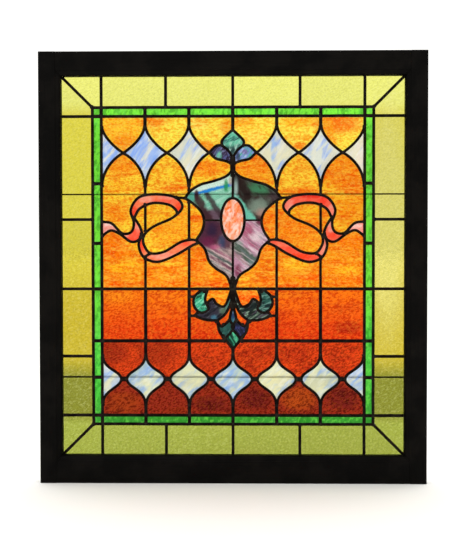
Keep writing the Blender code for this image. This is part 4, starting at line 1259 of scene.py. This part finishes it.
@dataclass
class Cames:
    """The lead: an H-shaped strip along every line, and solder on both faces of each joint."""

    drawing: LeadDrawing
    depth: float = 5.4
    skin: float = 1.15
    heart: float = 1.6
    crown: float = 0.95
    fullness: float = 0.96
    step: float = 22.0
    wander: float = 0.3
    joint_reach: float = 4.0
    joint_step: float = 2.0
    draw_in: float = 0.28
    joint_share: float = 0.72
    pools: tuple[tuple[float, float, float], ...] = (
        (0, 205, 5.8), (0, -28, 6.8), (63, -55, 7.2), (21.7, -132, 4.2), (37.5, -125, 5.0), (0, -137, 6.2),
        (22.3, -159, 5.0))

    def section(self, width: float) -> list[Point]:
        """The came's H: two crowned flanges joined by the heart, for a width of face."""
        h, c, d = width / 2, self.heart / 2, self.depth
        crown = [(s * h, self.crown * (1 - math.sqrt(1 - (self.fullness * s) ** 2)))
                 for s in (-1, -0.85, -0.5, 0, 0.5, 0.85, 1)]
        right = [(h, self.skin), (c, self.skin), (c, d - self.skin), (h, d - self.skin)]
        back = [(u, d - y) for u, y in reversed(crown)]
        return [*crown, *right, *back, *((-u, y) for u, y in reversed(right))]

    def strips(self) -> bpy.types.Object:
        """Every strip of came, as one piece. Each wavers a little, as came pulled by hand does."""
        whole = bmesh.new()
        for number, lead in enumerate(self.drawing.leads):
            closed = (lead.line[0] - lead.line[-1]).length < 0.01
            path = paced(lead.line, self.step)
            for i in range(1, len(path) - 1):
                sway = noise.noise_vector(Vector((path[i].x / 34, path[i].y / 34, number * 7.3)))
                path[i] = path[i] + sway.xy * self.wander
            join(whole, swept(self.section(lead.width), path[:-1] if closed else path, closed))
        return on_panel(whole, "lead_cames")

    def joints(self) -> list[tuple[Vector, float]]:
        """Where the ends of strips meet, with the width of the narrowest strip there."""
        lines = [(paced(lead.line, self.joint_step), lead.width) for lead in self.drawing.leads]
        points = np.array([tuple(p) for line, _ in lines for p in line])
        widths = np.concatenate([np.full(len(line), width) for line, width in lines])
        found: list[Vector] = []
        for lead in self.drawing.leads:
            for tip, inner in (lead.line[:2], lead.line[:-3:-1]):
                end = tip + (inner - tip).normalized() * lead.width * self.draw_in
                near = next((i for i, p in enumerate(found) if (p - end).length < self.joint_reach), None)
                if near is None:
                    found.append(end.copy())
                else:
                    found[near] = found[near].lerp(end, 0.5)
        return [(p, float(widths[np.hypot(*(points - tuple(p)).T) < self.joint_reach].min())) for p in found]

    def solder(self) -> bpy.types.Object:
        """A low button of solder on both faces of each joint, and where solder fills a tight corner."""
        draw = random.Random(11)
        whole = bmesh.new()
        pools = [(Vector((s * x, z)), r) for x, z, r in self.pools for s in ((1, -1) if x else (1,))]
        for place, r in [(place, width * self.joint_share) for place, width in self.joints()] + pools:
            for level in (0.5, self.depth - 0.5):
                join(whole, bead(place, level, (r * draw.uniform(0.95, 1.12), r * draw.uniform(0.88, 1.0)),
                                 draw.uniform(0.75, 1.0), draw.uniform(0, math.tau)))
        return on_panel(whole, "solder_joints")

    def build(self) -> None:
        """Builds and dresses the strips and the solder."""
        dressed(self.strips(), lead_patina(), "lead", "lead_came_lattice")
        dressed(self.solder(), solder_patina(), "lead")


@dataclass
class Pane:
    """One pane, cut to its outline, with its edge in the came's channel."""

    outline: list[Vector]
    relief: Relief
    back: float = 4.05
    thickness: float = 2.5

    def build(self) -> Shape:
        """The pane as a closed slab whose front carries the relief of the glass."""
        bm = bmesh.new()
        face = bm.faces.new([bm.verts.new((p.x, self.back, p.y)) for p in self.outline])
        made = bmesh.ops.extrude_face_region(bm, geom=[face])["geom"]
        front = [f for f in made if isinstance(f, bmesh.types.BMFace)]
        bmesh.ops.translate(bm, verts=front[0].verts, vec=(0, -self.thickness, 0))
        for axis, values in ((0, [p.x for p in self.outline]), (2, [p.y for p in self.outline])):
            low, high = min(values), max(values)
            steps = max(1, round((high - low) / self.relief.step))
            for i in range(1, steps):
                level, across = Vector((0, 0, 0)), Vector((0, 0, 0))
                level[axis], across[axis] = low + (high - low) * i / steps, 1
                geom = [*front, *{e for f in front for e in f.edges}, *{v for f in front for v in f.verts}]
                cut = bmesh.ops.bisect_plane(bm, geom=geom, dist=1e-4, plane_co=level, plane_no=across)
                front = [f for f in cut["geom"] if isinstance(f, bmesh.types.BMFace)]
        for v in {v for f in front for v in f.verts}:
            v.co.y -= self.relief.height(v.co)
        bmesh.ops.triangulate(bm, faces=front)
        bmesh.ops.recalc_face_normals(bm, faces=bm.faces)
        return bm


@dataclass
class LeadedGlass:
    """All panes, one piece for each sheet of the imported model."""

    drawing: LeadDrawing
    schedule: dict[str, Glass]
    seed: int = 5
    spread: float = 3.0

    def piece(self, name: str, outlines: list[list[Vector]], glass: Glass,
              draw: random.Random) -> bpy.types.Object:
        """Cuts the panes of one sheet.

        Args:
            name: the piece's name.
            outlines: the panes' outlines.
            glass: what they are cut from.
            draw: the random numbers that choose where on the sheet each pane is cut.

        Returns:
            The panes as one object.
        """
        whole = bmesh.new()
        cut_from = whole.verts.layers.float_vector.new("cut_from")
        tone = whole.verts.layers.float.new("tone")
        for outline in outlines:
            before = len(whole.verts)
            join(whole, Pane(outline, glass.relief).build())
            whole.verts.ensure_lookup_table()
            spot = Vector([draw.uniform(-self.spread, self.spread) for _ in range(3)])
            shade = draw.random()
            for v in whole.verts[before:]:
                v[cut_from] = spot
                v[tone] = shade
        return on_panel(whole, name)

    def build(self) -> None:
        """Cuts and dresses every pane."""
        layout = PaneLayout(self.drawing)
        draw = random.Random(self.seed)
        for node, point in sheet_places().items():
            glass = self.schedule[node]
            panes = self.piece(f"panes_{node}", layout.panes_of(point), glass, draw)
            dressed(panes, glass.material(f"glass_{node}"), glass.slot, node)


# Lead, wood, putty and steel

@dataclass(frozen=True)
class Finish:
    """A finish of one main colour with a patchy second one, grain along one way, and a rough surface."""

    name: str
    colour: str
    patch: str
    metallic: float
    roughness: tuple[float, float]
    patch_size: float
    grain: tuple[float, float, float]
    bump: float
    specular: float = 0.5

    def material(self) -> bpy.types.Material:
        """Builds the finish's material."""
        made = blank_material(self.name)
        tree = made.node_tree
        place = add_node(tree, "TexCoord").outputs["Object"]
        patches = clouds(tree, place, 1 / (self.patch_size * MM), 4.0, 0.6)
        drawn = add_node(tree, "Mapping", {0: place, 3: tuple(g * MM for g in self.grain)},
                         vector_type="TEXTURE")
        marks = clouds(tree, drawn.outputs[0], 1.0, 4.0, 0.65)
        worn = between(tree, patches.outputs[0], 0.42, 0.62)
        colour = blended(tree, worn, linear(self.colour), linear(self.patch))
        lined = between(tree, marks.outputs[0], 0.35, 0.6, 0.72, 1.0)
        shade = add_node(tree, "VectorMath", {0: colour, "Scale": lined}, operation="SCALE").outputs[0]
        rough = between(tree, marks.outputs[0], 0.35, 0.65, *self.roughness)
        bump = add_node(tree, "Bump", {"Height": marks.outputs[0], "Distance": self.bump * MM,
                                       "Strength": 0.8})
        shader = add_node(tree, "BsdfPrincipled", {
            "Base Color": shade, "Metallic": self.metallic, "Roughness": rough, "Normal": bump.outputs[0]})
        if self.metallic < 0.5:
            shader.inputs["Specular IOR Level"].default_value = self.specular
        add_node(tree, "OutputMaterial", {0: shader.outputs[0]})
        return made


class Grain(Enum):
    """Which way the wood runs: sizes of the brush marks across, through and along, in mm."""

    UPRIGHT = (1.6, 1.6, 90.0)
    LEVEL = (90.0, 1.6, 1.6)


def lead_patina() -> bpy.types.Material:
    """Lead came blackened with patina and rubbed: a dull dark metal with paler rubbed places."""
    return Finish("blackened_lead", "#1A1513", "#2A2420", 1.0, (0.45, 0.7), 22.0, (3.0, 3.0, 3.0),
                  0.25).material()


def solder_patina() -> bpy.types.Material:
    """Tin-lead solder under the same patina: smoother and a little brighter than the came."""
    return Finish("blackened_solder", "#1E1A17", "#302C27", 1.0, (0.36, 0.55), 8.0, (2.0, 2.0, 2.0),
                  0.2).material()


def sash_paint_and_shade(grain: Grain) -> bpy.types.Material:
    """Near-black oil paint brushed on pine, with painted shade of the front lit from behind: soft sheen,
    brush marks and ridges along the member.
    """
    # Both colours are darker than real paint: painted shade of the sash's front standing against the light
    # behind it.
    return Finish(f"shaded_black_paint_{grain.name.lower()}", "#090807", "#110F0D", 0.0, (0.45, 0.62), 60.0,
                  grain.value, 0.35, 0.04).material()


def linseed_putty() -> bpy.types.Material:
    """Linseed-oil putty gone hard and painted over: matt, dragged by the knife, with fine cracks."""
    return Finish("linseed_putty", "#2A2722", "#3B362E", 0.0, (0.6, 0.85), 26.0, (7.0, 2.0, 7.0), 0.5,
                  0.3).material()


def bar_steel() -> bpy.types.Material:
    """Mild steel bar, blackened: rolled surface with brown specks of rust."""
    return Finish("blackened_bar_steel", "#2C2824", "#4A3428", 0.7, (0.4, 0.65), 14.0, (40.0, 2.0, 2.0),
                  0.2).material()


@dataclass
class Sash:
    """The sash: two stiles and two rails with through tenons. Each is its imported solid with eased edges."""

    ease: float = 0.55
    segments: int = 2
    members: tuple[tuple[str, Grain], ...] = (
        ("sash_stile_left", Grain.UPRIGHT), ("sash_stile_right", Grain.UPRIGHT),
        ("sash_top_rail", Grain.LEVEL), ("sash_bottom_rail", Grain.LEVEL))

    def member(self, node: bpy.types.Object, name: str) -> bpy.types.Object:
        """A copy of a member with its flat faces made whole and its edges rounded.

        Args:
            node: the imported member.
            name: the new piece's name.

        Returns:
            The piece.
        """
        bm = bmesh.new()
        bm.from_mesh(node.data)
        bmesh.ops.remove_doubles(bm, verts=bm.verts, dist=1e-5)
        bmesh.ops.dissolve_limit(bm, angle_limit=math.radians(1), verts=bm.verts, edges=bm.edges)
        edges = [e for e in bm.edges if e.is_manifold and e.calc_face_angle(0) > math.radians(40)]
        bmesh.ops.bevel(bm, geom=edges, offset=self.ease * MM, offset_type="OFFSET", segments=self.segments,
                        profile=0.5, affect="EDGES", clamp_overlap=True, material=-1)
        bmesh.ops.recalc_face_normals(bm, faces=bm.faces)
        return finished(bm, name, 32.0)

    def build(self, nodes: dict[str, bpy.types.Object]) -> None:
        """Builds and dresses the four members."""
        for name, grain in self.members:
            dressed(self.member(nodes[name], f"painted_{name}"), sash_paint_and_shade(grain), "painted_wood", name)


@dataclass
class Putty:
    """The fillet of putty round the rebate, knifed off by hand."""

    width: float = 8.2
    step: float = 9.0
    ripple: float = 0.28
    lip: float = 0.8
    top_share: float = 0.14

    def build(self) -> None:
        """Sweeps the fillet round the panel and roughens its slope."""
        low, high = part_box("glazing_putty")
        height = (high.y - low.y) / MM
        panel_low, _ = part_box("lead_came_lattice")
        half_x, top, foot = high.x / MM, (high.z - panel_middle()) / MM, (low.z - panel_middle()) / MM
        corners = [Vector((s * half_x, z)) for s, z in ((-1, foot), (-1, top), (1, top), (1, foot))]
        path = paced([*corners, corners[0]], self.step)[:-1]
        front = (low.y - panel_low.y) / MM
        slope = [(self.width * (self.top_share + (1 - self.top_share) * i / 4),
                  front + height - (height - self.lip) * i / 4) for i in range(5)]
        bm = swept([(0, front), (0, front + height), *slope, (self.width, front)], path, True)
        for v in bm.verts:
            if 1.5 * self.lip < v.co.y - front < height - 0.05:
                lump = noise.noise(v.co / 13) + 0.5 * noise.noise(v.co / 4)
                v.co.y -= abs(lump) * self.ripple
        dressed(on_panel(bm, "putty_fillet"), linseed_putty(), "putty", "glazing_putty")


@dataclass
class SaddleBars:
    """The two steel bars across the back, tacked to the leads with solder."""

    ease: float = 0.5

    def bar(self, node: str) -> bpy.types.Object:
        """One bar with rounded arrises."""
        low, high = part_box(node)
        bm = bmesh.new()
        bmesh.ops.create_cube(bm, size=1)
        sized = Matrix.Translation((low + high) / 2) @ Matrix.Diagonal((*(high - low), 1))
        bmesh.ops.transform(bm, matrix=sized, verts=bm.verts)
        bmesh.ops.bevel(bm, geom=bm.edges, offset=self.ease * MM, segments=3, profile=0.5, affect="EDGES",
                        material=-1)
        return finished(bm, f"{node}_steel")

    def tacks(self, nodes: Sequence[str], drawing: LeadDrawing) -> bpy.types.Object:
        """Solder where a bar crosses an upright lead.

        Args:
            nodes: the bars' nodes.
            drawing: the drawing of the leads.

        Returns:
            The tacks as one piece.
        """
        panel_low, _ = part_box("lead_came_lattice")
        draw = random.Random(3)
        whole = bmesh.new()
        for node in nodes:
            low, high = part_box(node)
            level = ((low.z + high.z) / 2 - panel_middle()) / MM
            depth = (low.y - panel_low.y) / MM
            for lead in drawing.leads:
                for a, b in zip(lead.line, lead.line[1:]):
                    if (a.y > level) != (b.y > level) and abs(a.x - b.x) < 2 * abs(a.y - b.y):
                        x = a.x + (level - a.y) * (b.x - a.x) / (b.y - a.y)
                        join(whole, bead(Vector((x, level)), depth + 0.5, (4.2, 3.6), draw.uniform(1.8, 2.6),
                                         draw.uniform(-0.4, 0.4)))
        return on_panel(whole, "bar_tacks")

    def build(self, drawing: LeadDrawing) -> None:
        """Builds and dresses the bars and their tacks."""
        nodes = ("saddle_bar_upper", "saddle_bar_lower")
        for node in nodes:
            dressed(self.bar(node), bar_steel(), "bar_steel", node)
        dressed(self.tacks(nodes, drawing), solder_patina(), "lead")


# Stage and camera

@dataclass
class Studio:
    """A pale floor, an even bright room brightest behind the window, and one soft light in front."""

    floor_size: float = 60.0
    behind: float = 1.08
    before: float = 0.36
    above: float = 0.7

    def floor(self) -> None:
        """Lays the floor under the sash's foot."""
        bm = bmesh.new()
        bmesh.ops.create_grid(bm, x_segments=1, y_segments=1, size=self.floor_size / 2)
        floor = finished(bm, "floor")
        made = bpy.data.materials.new("pale_floor")
        made.use_nodes = True
        shader = made.node_tree.nodes["Principled BSDF"]
        shader.inputs["Base Color"].default_value = linear("#FBFAF8")
        shader.inputs["Roughness"].default_value = 0.9
        shader.inputs["Specular IOR Level"].default_value = 0.1
        floor.data.materials.append(made)

    def room(self) -> None:
        """Lights the room: the light behind the window comes through the glass."""
        world = bpy.data.worlds.new("pale_room")
        bpy.context.scene.world = world
        world.use_nodes = True
        tree = world.node_tree
        tree.nodes.clear()
        way = add_node(tree, "TexCoord").outputs["Generated"]
        parts = add_node(tree, "SeparateXYZ", {0: way})
        depth = between(tree, parts.outputs[1], -0.6, 0.5, self.before, self.behind)
        height = between(tree, parts.outputs[2], 0.03, 0.5, 0.0, self.above)
        total = add_node(tree, "Math", {0: depth, 1: height}, operation="ADD").outputs[0]
        light = add_node(tree, "Background", {0: linear("#FFFEFB"), 1: total})
        add_node(tree, "OutputWorld", {0: light.outputs[0]})

    def lamp(self) -> None:
        """Hangs one large soft light above and in front, to the left."""
        light = bpy.data.lights.new("soft_light", "AREA")
        light.energy, light.size = 6.0, 2.4
        lamp = bpy.data.objects.new("soft_light", light)
        lamp.location = (-1.6, -2.4, 2.6)
        lamp.rotation_euler = (Vector((0, 0, 0.5)) - lamp.location).to_track_quat("-Z", "Y").to_euler()
        bpy.context.scene.collection.objects.link(lamp)

    def build(self) -> None:
        """Builds the stage."""
        self.floor()
        self.room()
        self.lamp()
        bpy.context.scene.view_settings.view_transform = "Standard"


@dataclass
class Camera:
    """The camera, where the photograph was taken from."""

    place: tuple[float, float, float] = (0.051, -2.708, 0.558)
    yaw: float = -1.191
    pitch: float = -1.851
    roll: float = -0.064
    lens: float = 52.36

    def build(self) -> None:
        """Sets up the camera."""
        data = bpy.data.cameras.new("camera")
        data.sensor_fit, data.sensor_height, data.lens = "VERTICAL", 24.0, self.lens
        camera = bpy.data.objects.new("camera", data)
        aim = Matrix.Rotation(math.radians(-self.yaw), 4, "Z") @ Matrix.Rotation(
            math.radians(90 + self.pitch), 4, "X") @ Matrix.Rotation(math.radians(self.roll), 4, "Z")
        camera.matrix_world = Matrix.Translation(self.place) @ aim
        bpy.context.scene.collection.objects.link(camera)
        bpy.context.scene.camera = camera


def main() -> None:
    """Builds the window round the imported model."""
    logging.basicConfig(level=logging.INFO, format="%(name)s: %(message)s")
    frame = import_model()
    Camera().build()
    Studio().build()
    drawing = LeadDrawing()
    Sash().build(frame["nodes"])
    Putty().build()
    SaddleBars().build(drawing)
    Cames(drawing).build()
    LeadedGlass(drawing, glass_schedule()).build()


if __name__ == "__main__":
    main()
